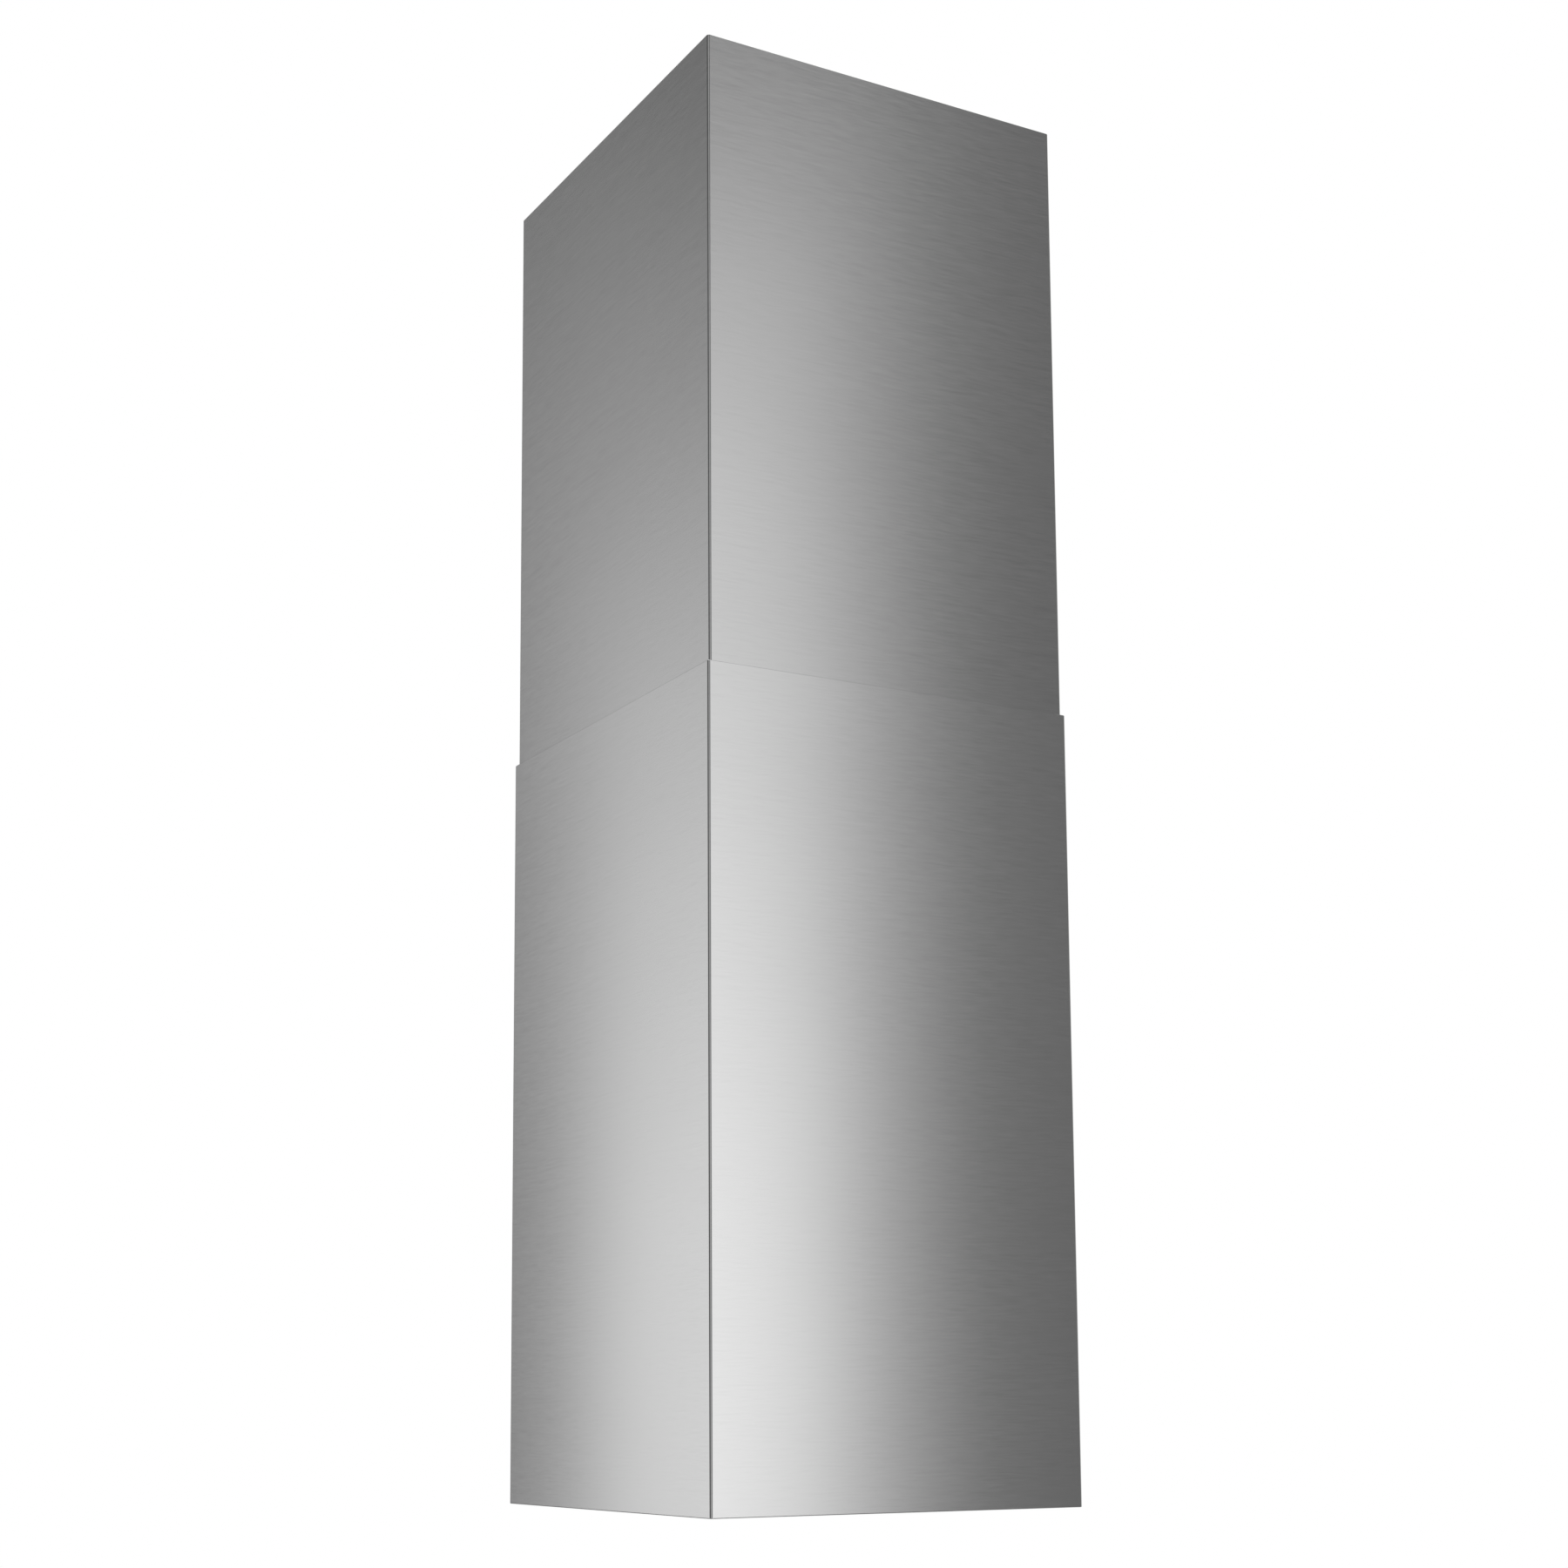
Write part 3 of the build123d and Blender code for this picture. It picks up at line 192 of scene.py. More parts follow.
# ---- materials ----------------------------------------------------------------------------
def brushed_stainless(name, tone, roughness, depth, along="HORIZONTAL"):
    """AISI 304 sheet, belt-brushed with a fine grit: parallel scratches a few centimetres long."""
    material, tree, shader = new_material(name)
    # Real scratches are about 0.05 mm wide; they are drawn 0.7 to 3 mm wide so that they show.
    if along == "HORIZONTAL":
        fine_scale, broad_scale, cloud_scale = (60, 60, 950), (18, 18, 330), (3.0, 3.0, 9.0)
    else:
        fine_scale, broad_scale, cloud_scale = (1500, 12, 1500), (500, 5, 500), (9.0, 2.0, 9.0)
    fine = noise(tree, fine_scale, detail=3.0, roughness=0.65)
    broad = noise(tree, broad_scale, detail=2.0, roughness=0.5)
    cloud = noise(tree, cloud_scale, detail=2.0, roughness=0.45)
    grain = node(tree, "ShaderNodeMix", {"Factor": 0.3, "A": fine, "B": broad},
                 data_type="FLOAT").outputs["Result"]
    base = linear(tone)
    dark = tinted(base, 0.95)
    light = tinted(base, 1.035)
    shade = ramp(tree, grain, ((0.3, dark), (0.5, base), (0.72, light)), "LINEAR")
    veil = ramp(tree, cloud, ((0.3, 0.98), (0.7, 1.0)), "EASE")
    colour = node(tree, "ShaderNodeMix", {"Factor": 1.0, "A": shade.outputs["Color"], "B": veil.outputs["Color"]},
                  data_type="RGBA", blend_type="MULTIPLY")
    tree.links.new(colour.outputs["Result"], shader.inputs["Base Color"])
    gloss_by(tree, shader, grain, from_min=0.3, from_max=0.7, to_min=roughness - 0.02,
             to_max=roughness + 0.02)
    relief(tree, shader, grain, depth, 0.02 * MM)
    shader.inputs["Metallic"].default_value = 1.0
    shader.inputs["Anisotropic"].default_value = 0.9
    shader.inputs["Anisotropic Rotation"].default_value = 0.25
    tangent = node(tree, "ShaderNodeTangent", direction_type="RADIAL", axis="Z")
    tree.links.new(tangent.outputs["Tangent"], shader.inputs["Tangent"])
    return material


def rolled_metal(name, tone, roughness, streak=0.1, scale=(60, 60, 400)):
    """Cold-rolled sheet or drawn wire: smooth with faint rolling lines and handling marks."""
    material, tree, shader = new_material(name)
    lines = noise(tree, scale, detail=3.0)
    marks = noise(tree, (45, 45, 45), detail=4.0, roughness=0.6)
    base = linear(tone)
    dark = tinted(base, 1 - streak)
    colour_by(tree, shader, lines, ((0.35, dark), (0.65, base)))
    gloss_by(tree, shader, marks, from_min=0.3, from_max=0.7, to_min=roughness - 0.06,
             to_max=roughness + 0.08)
    relief(tree, shader, lines, 0.25, 0.05 * MM)
    shader.inputs["Metallic"].default_value = 1.0
    return material


def galvanised_sheet(name, tone):
    """Hot-dip galvanised steel: zinc crystals 6 to 12 mm across, each with its own tone and gloss."""
    material, tree, shader = new_material(name)
    space = pattern_space(tree, (115, 115, 115))
    crystals = node(tree, "ShaderNodeTexVoronoi", {"Vector": space, "Scale": 1.0, "Randomness": 1.0})
    cell = node(tree, "ShaderNodeSeparateColor", {"Color": crystals.outputs["Color"]})
    ferns = node(tree, "ShaderNodeTexNoise", {"Vector": space, "Scale": 7.0, "Detail": 4.0})
    mixed = node(tree, "ShaderNodeMix", {"Factor": 0.35, "A": cell.outputs["Red"], "B": ferns.outputs["Fac"]},
                 data_type="FLOAT").outputs["Result"]
    base = linear(tone)
    dark = tinted(base, 0.72)
    colour_by(tree, shader, mixed, ((0.15, dark), (0.85, base)), "LINEAR")
    gloss_by(tree, shader, mixed, to_min=0.34, to_max=0.52)
    relief(tree, shader, mixed, 0.2, 0.05 * MM)
    shader.inputs["Metallic"].default_value = 0.9
    return material


def crumpled_foil(name, tone):
    """Corrugated aluminium foil hose: bright, with fine creases from handling."""
    material, tree, shader = new_material(name)
    creases = node(tree, "ShaderNodeTexVoronoi", {"Vector": pattern_space(tree, (140, 140, 220)), "Scale": 1.0},
                   feature="DISTANCE_TO_EDGE")
    folds = noise(tree, (60, 60, 160), detail=5.0)
    height = node(tree, "ShaderNodeMix", {"Factor": 0.5, "A": creases.outputs["Distance"], "B": folds},
                  data_type="FLOAT").outputs["Result"]
    base = linear(tone)
    dull = tinted(base, 0.8)
    colour_by(tree, shader, folds, ((0.35, dull), (0.6, base)))
    relief(tree, shader, height, 0.6, 0.25 * MM)
    shader.inputs["Metallic"].default_value = 1.0
    shader.inputs["Roughness"].default_value = 0.3
    return material


def moulded_plastic(name, tone, roughness, grain_mm=0.8, depth=0.12):
    """Injection-moulded plastic: even colour with the spark-eroded texture of the mould."""
    material, tree, shader = new_material(name)
    period = 1.0 / (grain_mm * MM)
    # Mould texture is about 0.1 mm; it is drawn coarser so that it shows.
    texture = noise(tree, (period, period, period), detail=2.0)
    wide = noise(tree, (30, 30, 30), detail=2.0)
    base = linear(tone)
    pale = tuple(min(1.0, c * 1.12 + 0.002) for c in base[:3]) + (1.0,)
    colour_by(tree, shader, wide, ((0.35, base), (0.7, pale)))
    gloss_by(tree, shader, wide, from_min=0.3, from_max=0.7, to_min=roughness - 0.05,
             to_max=roughness + 0.05)
    relief(tree, shader, texture, depth, 0.08 * MM)
    return material


def stoved_paint(name, tone):
    """Black stoved enamel on the motor: semi-gloss with a slight orange-peel."""
    material, tree, shader = new_material(name)
    peel = noise(tree, (600, 600, 600), detail=1.0)
    dust = noise(tree, (80, 80, 80), detail=4.0)
    base = linear(tone)
    dusty = tuple(c * 0.8 + 0.02 for c in base[:3]) + (1.0,)
    colour_by(tree, shader, dust, ((0.45, base), (0.75, dusty)))
    relief(tree, shader, peel, 0.15, 0.1 * MM)
    shader.inputs["Roughness"].default_value = 0.34
    shader.inputs["Coat Weight"].default_value = 0.3
    return material


def circuit_laminate(name, tone, copper):
    """Circuit board: solder mask over the laminate, with the tracks showing through it."""
    material, tree, shader = new_material(name)
    space = pattern_space(tree, (210, 210, 210))
    tracks = node(tree, "ShaderNodeTexBrick", {"Vector": space, "Scale": 1.0, "Color1": linear(tone),
                                               "Color2": linear(tone), "Mortar": linear(copper),
                                               "Mortar Size": 0.09, "Brick Width": 1.7, "Row Height": 0.6})
    weave = noise(tree, (1400, 1400, 1400))
    tree.links.new(tracks.outputs["Color"], shader.inputs["Base Color"])
    relief(tree, shader, weave, 0.1, 0.05 * MM)
    shader.inputs["Roughness"].default_value = 0.38
    return material


def frosted_polycarbonate(name, tone):
    """Diffusing polycarbonate of the lamp covers: milky, with a satin skin."""
    material, tree, shader = new_material(name)
    haze = noise(tree, (900, 900, 900), detail=2.0)
    base = linear(tone)
    warm = tuple(c * f for c, f in zip(base[:3], (1.0, 0.985, 0.95))) + (1.0,)
    colour_by(tree, shader, haze, ((0.35, warm), (0.65, base)))
    relief(tree, shader, haze, 0.12, 0.05 * MM)
    shader.inputs["Roughness"].default_value = 0.42
    shader.inputs["Transmission Weight"].default_value = 0.35
    shader.inputs["IOR"].default_value = 1.585
    return material


# ---- modelling helpers --------------------------------------------------------------------
def deselect_all():
    """Leaves nothing selected before a new piece is started."""
    if bpy.context.object and bpy.context.object.mode != "OBJECT":
        bpy.ops.object.mode_set(mode="OBJECT")
    bpy.ops.object.select_all(action="DESELECT")


def pick_faces(test):
    """In edit mode, selects only the faces whose centre and normal pass the test."""
    mesh = bmesh.from_edit_mesh(bpy.context.object.data)
    for part in (*mesh.verts, *mesh.edges, *mesh.faces):
        part.select = False
    bpy.context.tool_settings.mesh_select_mode = (False, False, True)
    for face in mesh.faces:
        if test(face.calc_center_median(), face.normal):
            face.select_set(True)
    bmesh.update_edit_mesh(bpy.context.object.data)


def pick_edges(test):
    """In edit mode, selects only the edges whose two ends pass the test."""
    mesh = bmesh.from_edit_mesh(bpy.context.object.data)
    for part in (*mesh.verts, *mesh.edges, *mesh.faces):
        part.select = False
    bpy.context.tool_settings.mesh_select_mode = (False, True, False)
    for edge in mesh.edges:
        if test(edge.verts[0].co, edge.verts[1].co):
            edge.select_set(True)
    bmesh.update_edit_mesh(bpy.context.object.data)


def finish_piece(name, body, material, angle=35):
    """Names the active object, puts its place in its mesh, smooths it and lets it ride on its body."""
    piece = bpy.context.object
    if piece.mode != "OBJECT":
        bpy.ops.object.mode_set(mode="OBJECT")
    bpy.ops.object.transform_apply(location=True, rotation=True, scale=True)
    bpy.ops.object.shade_smooth_by_angle(angle=math.radians(angle))
    piece.name = name
    piece.data.name = name
    piece.data.materials.clear()
    piece.data.materials.append(material)
    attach(piece, body)
    return piece


def copy_piece(piece, name, offset, body):
    """Copy with its own mesh, moved inside the mesh."""
    twin = piece.copy()
    twin.data = piece.data.copy()
    twin.name = name
    twin.data.name = name
    twin.parent = None
    twin.matrix_world = Matrix.Identity(4)
    bpy.context.scene.collection.objects.link(twin)
    twin.data.transform(Matrix.Translation(offset))
    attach(twin, body)
    return twin


# ---- settings -----------------------------------------------------------------------------
class HoodFinishSettings(bpy.types.PropertyGroup):
    """Finish of the sheet metal and plastics."""

    sheet_roughness: bpy.props.FloatProperty(
        name="Cover roughness", description="Roughness across the brushed grain of the covers",
        default=0.15, min=0.05, max=0.9, subtype="FACTOR")
    grain_depth: bpy.props.FloatProperty(
        name="Grain depth", description="Strength of the brushed grain's relief", default=0.05, min=0.0, max=1.0,
        subtype="FACTOR")
    lens_rise: bpy.props.FloatProperty(
        name="Lens rise", description="Height of the lamp lens's crown", default=0.8 * MM, min=0.0, max=3 * MM,
        subtype="DISTANCE", unit="LENGTH")
    mark_size: bpy.props.FloatProperty(
        name="Button mark", description="Radius of one raised dot on a push button", default=0.55 * MM,
        min=0.2 * MM, max=1.5 * MM, subtype="DISTANCE", unit="LENGTH")


class HoodStageSettings(bpy.types.PropertyGroup):
    """Studio and camera."""

    floor_drop: bpy.props.FloatProperty(
        name="Floor drop", description="Height of the hood's bottom edge above the floor", default=1.6, min=0.1,
        max=4.0, subtype="DISTANCE", unit="LENGTH")
    floor_radius: bpy.props.FloatProperty(
        name="Floor radius", description="Radius of the pale studio floor", default=20.0, min=2.0, max=80.0,
        subtype="DISTANCE", unit="LENGTH")
    lens: bpy.props.FloatProperty(
        name="Lens", description="Focal length in millimetres on a 36 mm high picture", default=57.58, min=10.0,
        max=300.0)
    yaw: bpy.props.FloatProperty(
        name="Yaw", description="Heading of the camera from the front direction", default=math.radians(29.6),
        subtype="ANGLE", unit="ROTATION")
    pitch: bpy.props.FloatProperty(
        name="Pitch", description="Upward tilt of the camera", default=math.radians(7.66), subtype="ANGLE",
        unit="ROTATION")
    roll: bpy.props.FloatProperty(
        name="Roll", description="Roll of the camera", default=math.radians(-0.39), subtype="ANGLE",
        unit="ROTATION")
    shift: bpy.props.FloatProperty(
        name="Rise", description="Upward lens shift as a share of the picture height", default=0.18, min=0.0,
        max=0.4, subtype="FACTOR")


# ---- pieces -------------------------------------------------------------------------------
class HOOD_OT_covers(bpy.types.Operator):
    """Brushed stainless steel on the telescoping covers"""

    bl_idname = "hood.covers"
    bl_label = "Covers"

    def execute(self, context):
        finish = context.scene.hood_finish
        upper = brushed_stainless("stainless_304_belt_brushed_upper", "#c8c8c8", finish.sheet_roughness,
                                  finish.grain_depth)
        lower = brushed_stainless("stainless_304_belt_brushed_lower", "#cccccc", finish.sheet_roughness,
                                  finish.grain_depth)
        paint(upper, "upper_cover_wrap", "upper_cover_rear_panel")
        paint(lower, "lower_cover_wrap", "lower_cover_rear_panel")
        rivets = rolled_metal("stainless_rivet_cold_headed", "#b9b9b6", 0.3)
        paint(rivets, "lower_cover_rivets")
        glide = moulded_plastic("nylon_glide_strip_extruded", "#e6e5df", 0.45)
        paint(glide, "glide_strips")
        return {"FINISHED"}


class HOOD_OT_ceiling_frame(bpy.types.Operator):
    """Galvanised ceiling plate, posts, braces and their screws"""

    bl_idname = "hood.ceiling_frame"
    bl_label = "Ceiling frame"

    def execute(self, context):
        zinc = galvanised_sheet("galvanised_steel_hot_dipped", "#b4b9bd")
        posts = [name for name in NODES if name.startswith(("upper_post_", "lower_post_"))]
        paint(zinc, "ceiling_plate", "upper_braces", "cover_brackets", "chassis_body", "chassis_top_plate",
              "duct_collar", "outlet_collar", *posts)
        plated = rolled_metal("zinc_plated_screw_barrel_plated", "#c6c9cc", 0.26, 0.16, (300, 300, 300))
        paint(plated, "post_top_screws", "frame_lock_screws", "chassis_screws", "tray_screws")
        spring = rolled_metal("spring_steel_hardened_blued", "#8f9296", 0.32)
        paint(spring, "cover_clips", "duct_clamp_upper", "duct_clamp_lower", "damper_pin", "motor_shaft")
        rubber = moulded_plastic("epdm_rubber_moulded", "#1c1c1d", 0.7, 0.6, 0.3)
        paint(rubber, "cable_grommet")
        return {"FINISHED"}


class HOOD_OT_duct(bpy.types.Operator):
    """Corrugated foil hose and aluminium damper flaps"""

    bl_idname = "hood.duct"
    bl_label = "Duct and damper"

    def execute(self, context):
        self.hose()
        paint(rolled_metal("aluminium_sheet_mill_finish", "#cfd1d3", 0.35, 0.08), "damper_flap_front",
              "damper_flap_rear")
        return {"FINISHED"}

    def hose(self):
        """The hose hangs from the ceiling collar, as long as the model's duct."""
        low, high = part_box("flex_duct")
        length = high.z - low.z
        crest = (high.x - low.x) / 2
        deselect_all()
        bpy.ops.mesh.primitive_cylinder_add(vertices=96, radius=crest, depth=length, end_fill_type="NOTHING",
                                            location=(0, 0, (low.z + high.z) / 2))
        bpy.ops.object.transform_apply(location=True, rotation=True, scale=True)
        bpy.ops.object.mode_set(mode="EDIT")
        for parts in (HOSE_STRIPS, FOLDS_PER_STRIP):
            pick_edges(lambda a, b: abs(a.z - b.z) > 0.1 * MM)
            bpy.ops.mesh.subdivide(number_cuts=parts - 1)
        mesh = bmesh.from_edit_mesh(bpy.context.object.data)
        fold = length / (HOSE_STRIPS * FOLDS_PER_STRIP)
        for vertex in mesh.verts:
            if round((vertex.co.z - low.z) / fold) % 2 == 0:
                vertex.co.x *= HOSE_VALLEY_RADIUS / crest
                vertex.co.y *= HOSE_VALLEY_RADIUS / crest
        bmesh.update_edit_mesh(bpy.context.object.data)
        bpy.ops.object.mode_set(mode="OBJECT")
        bpy.ops.object.modifier_add(type="SOLIDIFY")
        wall = bpy.context.object.modifiers[-1]
        wall.thickness = HOSE_WALL
        wall.offset = -1.0
        bpy.ops.object.modifier_apply(modifier=wall.name)
        foil = crumpled_foil("aluminium_foil_corrugated", "#d5d6d8")
        piece = finish_piece("foil_hose", "ceiling_frame", foil)
        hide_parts("flex_duct")
        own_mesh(piece)


class HOOD_OT_blower(bpy.types.Operator):
    """Plastic scroll and wheel, painted motor and capacitor"""

    bl_idname = "hood.blower"
    bl_label = "Blower"

    def execute(self, context):
        paint(moulded_plastic("abs_black_moulded", "#1d1e20", 0.5, 1.0, 0.25), "scroll_left_half",
              "scroll_right_half", "power_box", "power_box_lid", "control_case")
        paint(moulded_plastic("polypropylene_grey_moulded", "#7f8285", 0.5), "impeller", "cable_gland")
        paint(stoved_paint("enamel_black_stoved", "#17181a"), "motor", "motor_bracket")
        paint(moulded_plastic("polypropylene_white_moulded", "#dedcd6", 0.35), "run_capacitor")
        return {"FINISHED"}


class HOOD_OT_electrics(bpy.types.Operator):
    """Circuit boards"""

    bl_idname = "hood.electrics"
    bl_label = "Electrics"

    def execute(self, context):
        paint(circuit_laminate("glass_epoxy_green_masked", "#12502f", "#3f8a4e"), "power_board", "control_board")
        paint(circuit_laminate("aluminium_core_board_white_masked", "#d8d8d2", "#b9b8ae"), "lamp_boards")
        return {"FINISHED"}


class HOOD_OT_underside(bpy.types.Operator):
    """Brushed tray, bright baffle filter, magnets"""

    bl_idname = "hood.underside"
    bl_label = "Underside"

    def execute(self, context):
        tray = brushed_stainless("stainless_304_belt_brushed_tray", "#c4c4c4", 0.34, 0.3, "FRONT_TO_REAR")
        paint(tray, "bottom_tray")
        bright = rolled_metal("stainless_430_bright_rolled", "#cfcecb", 0.24, 0.08, (400, 25, 400))
        paint(bright, "filter_frame", "filter_baffles", "filter_pull")
        paint(moulded_plastic("ferrite_sintered", "#2b2c2f", 0.6, 0.5, 0.4), "filter_magnets")
        return {"FINISHED"}


class HOOD_OT_lamps(bpy.types.Operator):
    """Lamp rings, crowned lenses and LED chips"""

    bl_idname = "hood.lamps"
    bl_label = "Lamps"

    def execute(self, context):
        finish = context.scene.hood_finish
        paint(rolled_metal("zinc_die_cast_satin_plated", "#bcbdbf", 0.3, 0.1, (200, 200, 200)), "lamp_bodies")
        polycarbonate = frosted_polycarbonate("polycarbonate_frosted_moulded", "#f1f0ea")
        phosphor = moulded_plastic("led_phosphor_cast_silicone", "#f0d96a", 0.4, 0.4, 0.1)
        low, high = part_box("lamp_lenses")
        radius = (high.y - low.y) / 2
        middle_y = (low.y + high.y) / 2
        left_x, right_x = low.x + radius, high.x - radius
        deselect_all()
        bpy.ops.mesh.primitive_cylinder_add(vertices=96, radius=radius, depth=high.z - low.z,
                                            location=(left_x, middle_y, (low.z + high.z) / 2))
        bpy.ops.object.transform_apply(location=True, rotation=True, scale=True)
        bpy.ops.object.mode_set(mode="EDIT")
        pick_faces(lambda c, n: n.z < -0.9)
        for _ in range(6):
            bpy.ops.mesh.inset(thickness=radius * 0.13, depth=0.0)
            bpy.ops.transform.translate(value=(0, 0, finish.lens_rise * 0.2))
        pick_edges(lambda a, b: abs(a.z - low.z) < 1e-6 and abs(b.z - low.z) < 1e-6
                   and math.hypot(a.x - left_x, a.y - middle_y) > radius * 0.99
                   and math.hypot(b.x - left_x, b.y - middle_y) > radius * 0.99)
        bpy.ops.mesh.bevel(offset=0.4 * MM, segments=3, affect="EDGES")
        lens = finish_piece("lamp_lens_left", "hood_unit", polycarbonate)
        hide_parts("lamp_lenses")
        copy_piece(lens, "lamp_lens_right", (right_x - left_x, 0, 0), "hood_unit")

        board_low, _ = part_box("lamp_boards")
        first = None
        for index in range(LED_COUNT):
            turn = math.radians(360 / LED_COUNT * index)
            place = Vector((LED_RING * math.cos(turn), LED_RING * math.sin(turn), 0))
            if first is None:
                deselect_all()
                bpy.ops.mesh.primitive_cube_add(
                    size=1.0, location=(left_x + place.x, middle_y + place.y, board_low.z - LED_HEIGHT / 2),
                    scale=(LED_SIZE, LED_SIZE, LED_HEIGHT))
                bpy.ops.object.transform_apply(location=True, rotation=True, scale=True)
                bpy.ops.object.mode_set(mode="EDIT")
                pick_faces(lambda c, n: n.z < -0.9)
                bpy.ops.mesh.inset(thickness=0.35 * MM, depth=0.15 * MM)
                first = finish_piece("led_chip_left_0", "hood_unit", phosphor)
                base = place.copy()
            else:
                copy_piece(first, f"led_chip_left_{index}", place - base, "hood_unit")
            across = Vector((right_x - left_x, 0, 0))
            copy_piece(first, f"led_chip_right_{index}", place - base + across, "hood_unit")
        return {"FINISHED"}


class HOOD_OT_buttons(bpy.types.Operator):
    """Plated button caps with raised dots that tell them apart by touch"""

    bl_idname = "hood.buttons"
    bl_label = "Push buttons"

    def execute(self, context):
        size = context.scene.hood_finish.mark_size
        cap = rolled_metal("abs_cap_satin_chrome_plated", "#bdbec0", 0.28, 0.06, (500, 500, 500))
        names = ("light", "off", "speed_1", "speed_2", "speed_3")
        paint(cap, *("button_" + name for name in names))
        ink = moulded_plastic("pad_printed_ink_dark", "#26282b", 0.45, 0.4, 0.1)
        layouts = {
            "light": ((0, 1.6), (1.4, 0.5), (0.9, -1.2), (-0.9, -1.2), (-1.4, 0.5)),
            "off": ((0, 0),),
            "speed_1": ((0, -1.2), (0, 1.2)),
            "speed_2": ((-1.2, 0), (0, 0), (1.2, 0)),
            "speed_3": ((-1.2, -1.2), (1.2, -1.2), (-1.2, 1.2), (1.2, 1.2)),
        }
        for name, spots in layouts.items():
            low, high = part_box("button_" + name)
            middle = (low + high) / 2
            for index, (dx, dy) in enumerate(spots):
                deselect_all()
                bpy.ops.mesh.primitive_uv_sphere_add(segments=16, ring_count=8, radius=size,
                                                     location=(middle.x + dx * MM, middle.y + dy * MM, low.z))
                bpy.ops.object.transform_apply(location=True, rotation=True, scale=True)
                bpy.ops.object.mode_set(mode="EDIT")
                bpy.ops.mesh.select_all(action="SELECT")
                bpy.ops.transform.resize(value=(1, 1, 0.35), center_override=(0, 0, low.z))
                bpy.ops.mesh.select_all(action="SELECT")
                bpy.ops.mesh.bisect(plane_co=(0, 0, low.z + 0.05 * MM), plane_no=(0, 0, 1), use_fill=True,
                                    clear_outer=True)
                finish_piece(f"mark_{name}_{index}", "key_" + name, ink)
        return {"FINISHED"}


class HOOD_OT_stage(bpy.types.Operator):
    """Pale floor, soft surround and the camera"""

    bl_idname = "hood.stage"
    bl_label = "Studio and camera"

    def execute(self, context):
        stage = context.scene.hood_stage
        self.floor(stage)
        self.surround(context.scene)
        self.camera(context.scene, stage)
        return {"FINISHED"}

    def floor(self, stage):
        """A wide round floor of matt white paint, faintly uneven."""
        deselect_all()
        bpy.ops.mesh.primitive_circle_add(vertices=128, radius=stage.floor_radius, fill_type="NGON",
                                          location=(0, 0, CAD_LOW.z - stage.floor_drop))
        piece = bpy.context.object
        bpy.ops.object.transform_apply(location=True, rotation=True, scale=True)
        piece.name = "studio_floor"
        material, tree, shader = new_material("floor_paint_matt_white")
        mottle = noise(tree, (0.8, 0.8, 0.8))
        colour_by(tree, shader, mottle, ((0.3, linear("#f6f6f5")), (0.7, linear("#f9f9f8"))))
        shader.inputs["Roughness"].default_value = 0.9
        shader.inputs["Specular IOR Level"].default_value = 0.1
        piece.data.materials.append(material)
        piece.visible_glossy = False

    def surround(self, scene):
        """Soft boxes around the column with dim gaps between them, on a white cyclorama."""
        world = bpy.data.worlds.new("studio")
        scene.world = world
        world.use_nodes = True
        tree = world.node_tree
        tree.nodes.clear()
        heading = node(tree, "ShaderNodeTexCoord").outputs["Generated"]
        parts = node(tree, "ShaderNodeSeparateXYZ", {"Vector": heading})
        back = node(tree, "ShaderNodeMath", {0: parts.outputs["Y"], 1: -1.0}, operation="MULTIPLY").outputs[0]
        angle = node(tree, "ShaderNodeMath", {0: parts.outputs["X"], 1: back}, operation="ARCTAN2").outputs[0]
        total = profile(tree, angle, [(math.radians(a), v) for a, v in SURROUND])
        for around, upward in SOFT_BOXES:
            width = profile(tree, angle, [(math.radians(a), v) for a, v in around])
            height = profile(tree, parts.outputs["Z"], [(math.sin(math.radians(e)), v) for e, v in upward])
            glow = node(tree, "ShaderNodeMix", {"Factor": 1.0, "A": width, "B": height},
                        data_type="RGBA", blend_type="MULTIPLY").outputs["Result"]
            total = node(tree, "ShaderNodeMix", {"Factor": 1.0, "A": total, "B": glow}, data_type="RGBA",
                         blend_type="ADD", clamp_result=False).outputs["Result"]
        shown = node(tree, "ShaderNodeBackground", {"Color": total, "Strength": 1.0})
        white = node(tree, "ShaderNodeBackground", {"Color": (1, 1, 1, 1), "Strength": 1.0})
        path = node(tree, "ShaderNodeLightPath")
        mixed = node(tree, "ShaderNodeMixShader", {0: path.outputs["Is Glossy Ray"], 1: white.outputs[0],
                                                   2: shown.outputs[0]})
        node(tree, "ShaderNodeOutputWorld", {"Surface": mixed.outputs[0]})
        scene.view_settings.view_transform = "Standard"
        scene.view_settings.look = "None"

    def camera(self, scene, stage):
        """The lens rises like a view camera's, so that the column's upright edges stay nearly parallel."""
        data = bpy.data.cameras.new("camera")
        data.lens = stage.lens
        data.sensor_fit = "VERTICAL"
        data.sensor_width = 24.0
        data.sensor_height = 36.0
        data.shift_y = stage.shift
        data.clip_start, data.clip_end = 0.05, 200.0
        view = bpy.data.objects.new("camera", data)
        scene.collection.objects.link(view)
        corner = Vector((CAD_LOW.x, -COVER_DEPTH / 2, CAD_LOW.z))
        view.location = corner + Vector(CAMERA_FROM_CORNER)
        level = math.cos(stage.pitch)
        forward = Vector((math.sin(stage.yaw) * level, math.cos(stage.yaw) * level, math.sin(stage.pitch)))
        turn = forward.to_track_quat("-Z", "Y").to_matrix().to_4x4()
        view.matrix_world = (Matrix.Translation(view.location) @ turn @ Matrix.Rotation(stage.roll, 4, "Z"))
        scene.camera = view


# Light of the dim surround by heading, in degrees from the front and positive to the right.
SURROUND = ((-180, 0.2), (-158, 0.2), (-120, 0.16), (-100, 0.08), (-22, 0.08), (4, 0.18), (60, 0.2), (180, 0.2))
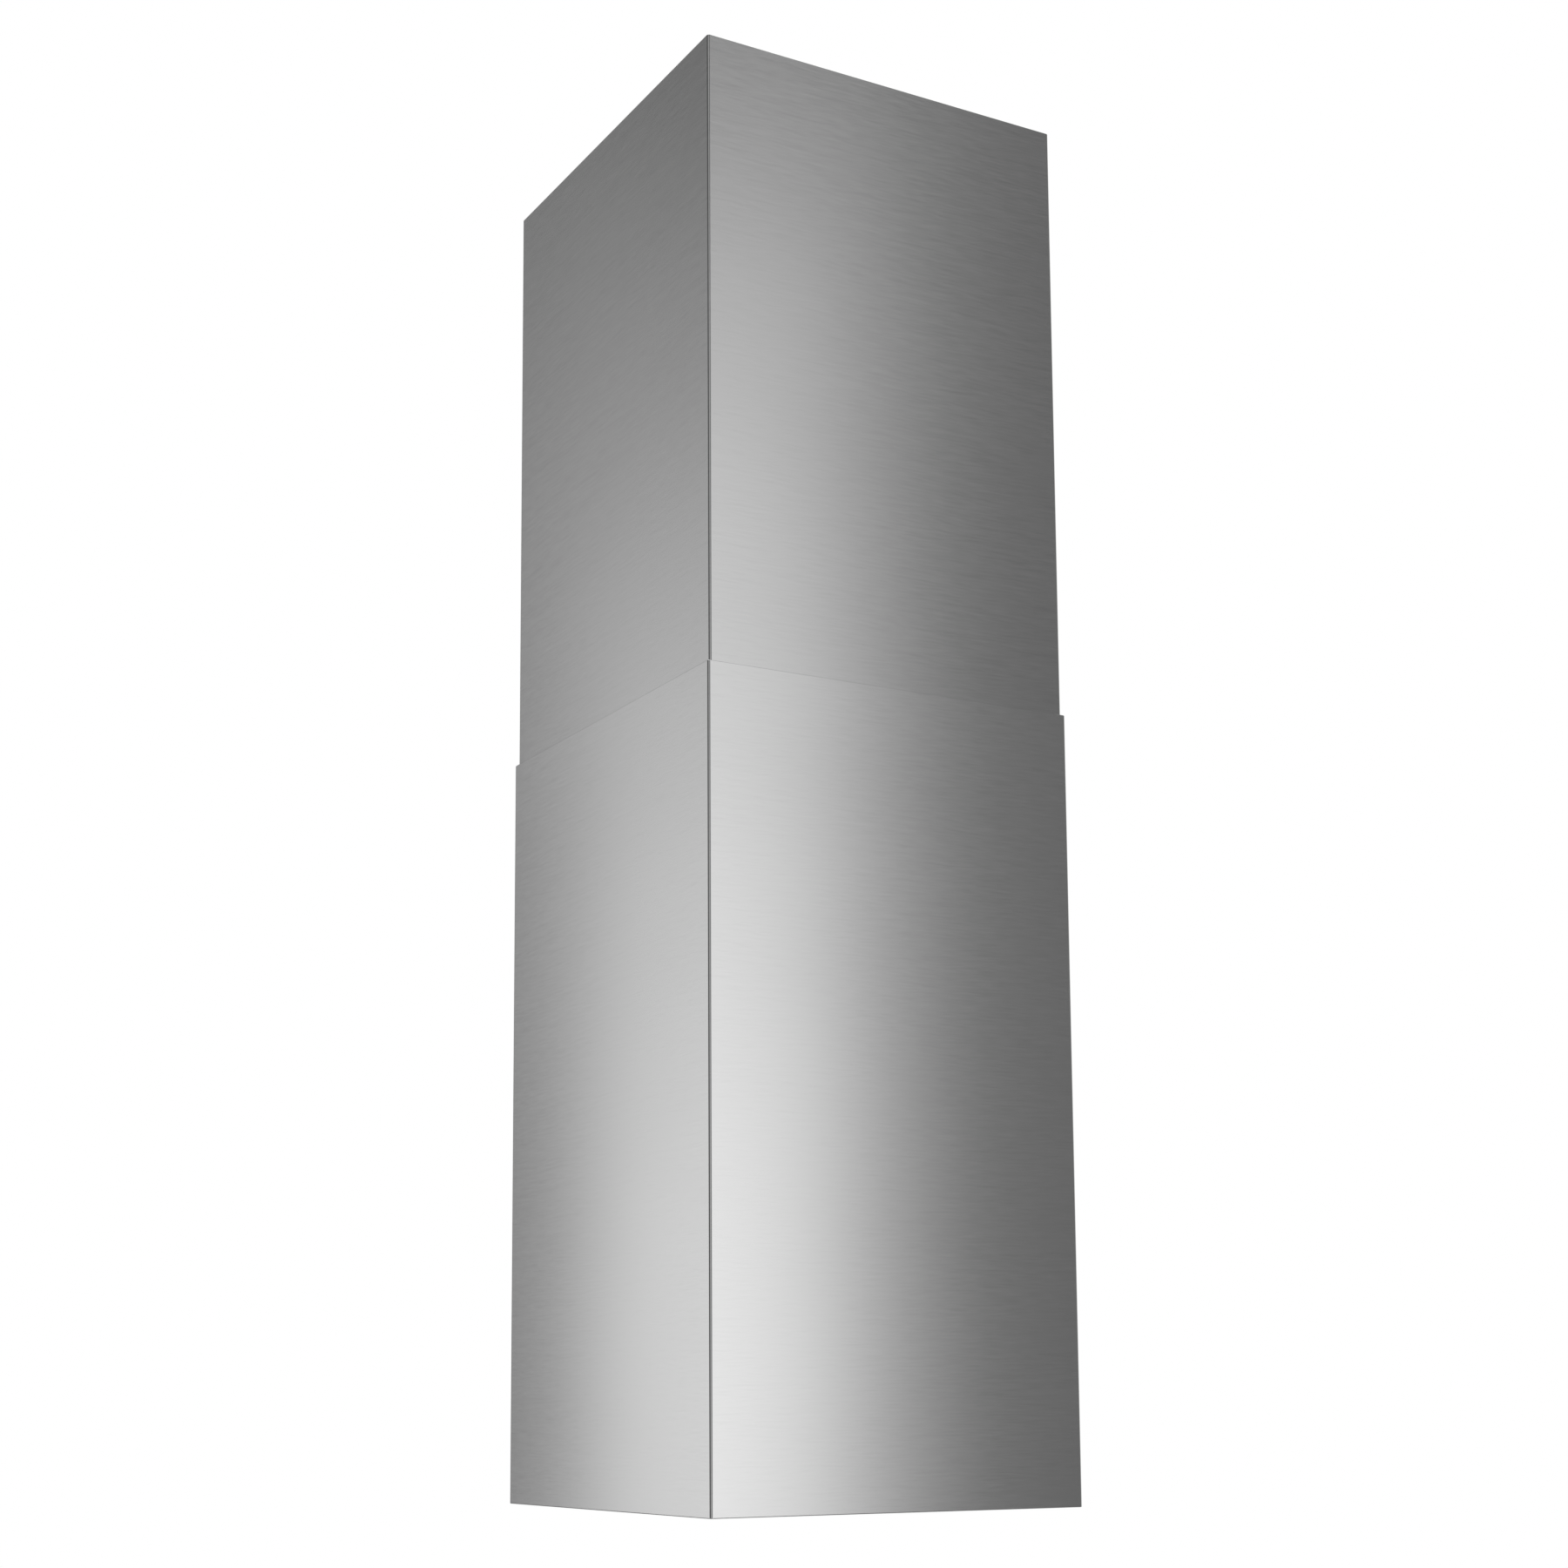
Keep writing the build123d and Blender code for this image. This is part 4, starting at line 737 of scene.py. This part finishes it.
# Each soft box: its light by heading, and the share of it left by elevation.
SOFT_BOXES = (
    # overhead panel
    (((-180, 1.5), (180, 1.5)), ((-90, 0.0), (52, 0.0), (64, 1.0), (90, 1.0))),
    # tall box in front, to the right
    (((-14, 0.0), (10, 0.95), (22, 1.2), (28, 1.2), (30, 1.0), (32, 0.4), (34, 0.05), (37, 0.0)),
     ((-90, 0.85), (-12, 1.0), (5, 1.0), (15, 0.78), (26, 0.55), (29, 0.1), (50, 0.0), (90, 0.3))),
    # low box behind, to the left
    (((-156, 0.0), (-155, 0.3), (-154, 0.6), (-140, 0.65), (-124, 0.3), (-112, 0.0)),
     ((-90, 0.85), (-12, 1.0), (5, 1.0), (15, 0.6), (20, 0.25), (30, 0.0), (50, 0.0), (90, 0.3))),
    # wide panel behind, to the left
    (((-176, 0.0), (-158, 0.1), (-154, 0.25), (-140, 0.3), (-112, 0.0)),
     ((-90, 0.8), (0, 1.0), (18, 1.0), (30, 0.0), (50, 0.0), (90, 0.3))),
    # box on the right
    (((60, 0.0), (85, 0.5), (100, 0.7), (130, 0.55), (160, 0.1), (175, 0.0)),
     ((-90, 0.2), (-30, 0.8), (-5, 1.0), (20, 0.6), (40, 0.2), (90, 0.3))),
    # wide reflector in front, to the left
    (((-80, 0.0), (-60, 0.5), (-35, 0.65), (-15, 0.0)),
     ((-90, 0.1), (-45, 0.8), (-15, 1.0), (0, 0.8), (60, 0.7), (90, 0.3))),
)


# ---- panel and registration ---------------------------------------------------------------
STEPS = (HOOD_OT_covers, HOOD_OT_ceiling_frame, HOOD_OT_duct, HOOD_OT_blower, HOOD_OT_electrics,
         HOOD_OT_underside, HOOD_OT_lamps, HOOD_OT_buttons, HOOD_OT_stage)


class HOOD_PT_panel(bpy.types.Panel):
    """Lists the hood's settings and steps"""

    bl_idname = "HOOD_PT_panel"
    bl_label = "Range hood"
    bl_space_type = "VIEW_3D"
    bl_region_type = "UI"
    bl_category = "Range hood"

    def draw(self, context):
        for name in ("hood_finish", "hood_stage"):
            settings = getattr(context.scene, name)
            for key in settings.__annotations__:
                self.layout.prop(settings, key)
        for step in STEPS:
            self.layout.operator(step.bl_idname)


CLASSES = (HoodFinishSettings, HoodStageSettings, *STEPS, HOOD_PT_panel)


def register():
    for entry in CLASSES:
        bpy.utils.register_class(entry)
    bpy.types.Scene.hood_finish = bpy.props.PointerProperty(type=HoodFinishSettings)
    bpy.types.Scene.hood_stage = bpy.props.PointerProperty(type=HoodStageSettings)


def unregister():
    del bpy.types.Scene.hood_stage
    del bpy.types.Scene.hood_finish
    for entry in reversed(CLASSES):
        bpy.utils.unregister_class(entry)


def main():
    register()
    for step in STEPS:
        group, action = step.bl_idname.split(".")
        getattr(getattr(bpy.ops, group), action)()


if __name__ == "__main__":
    main()
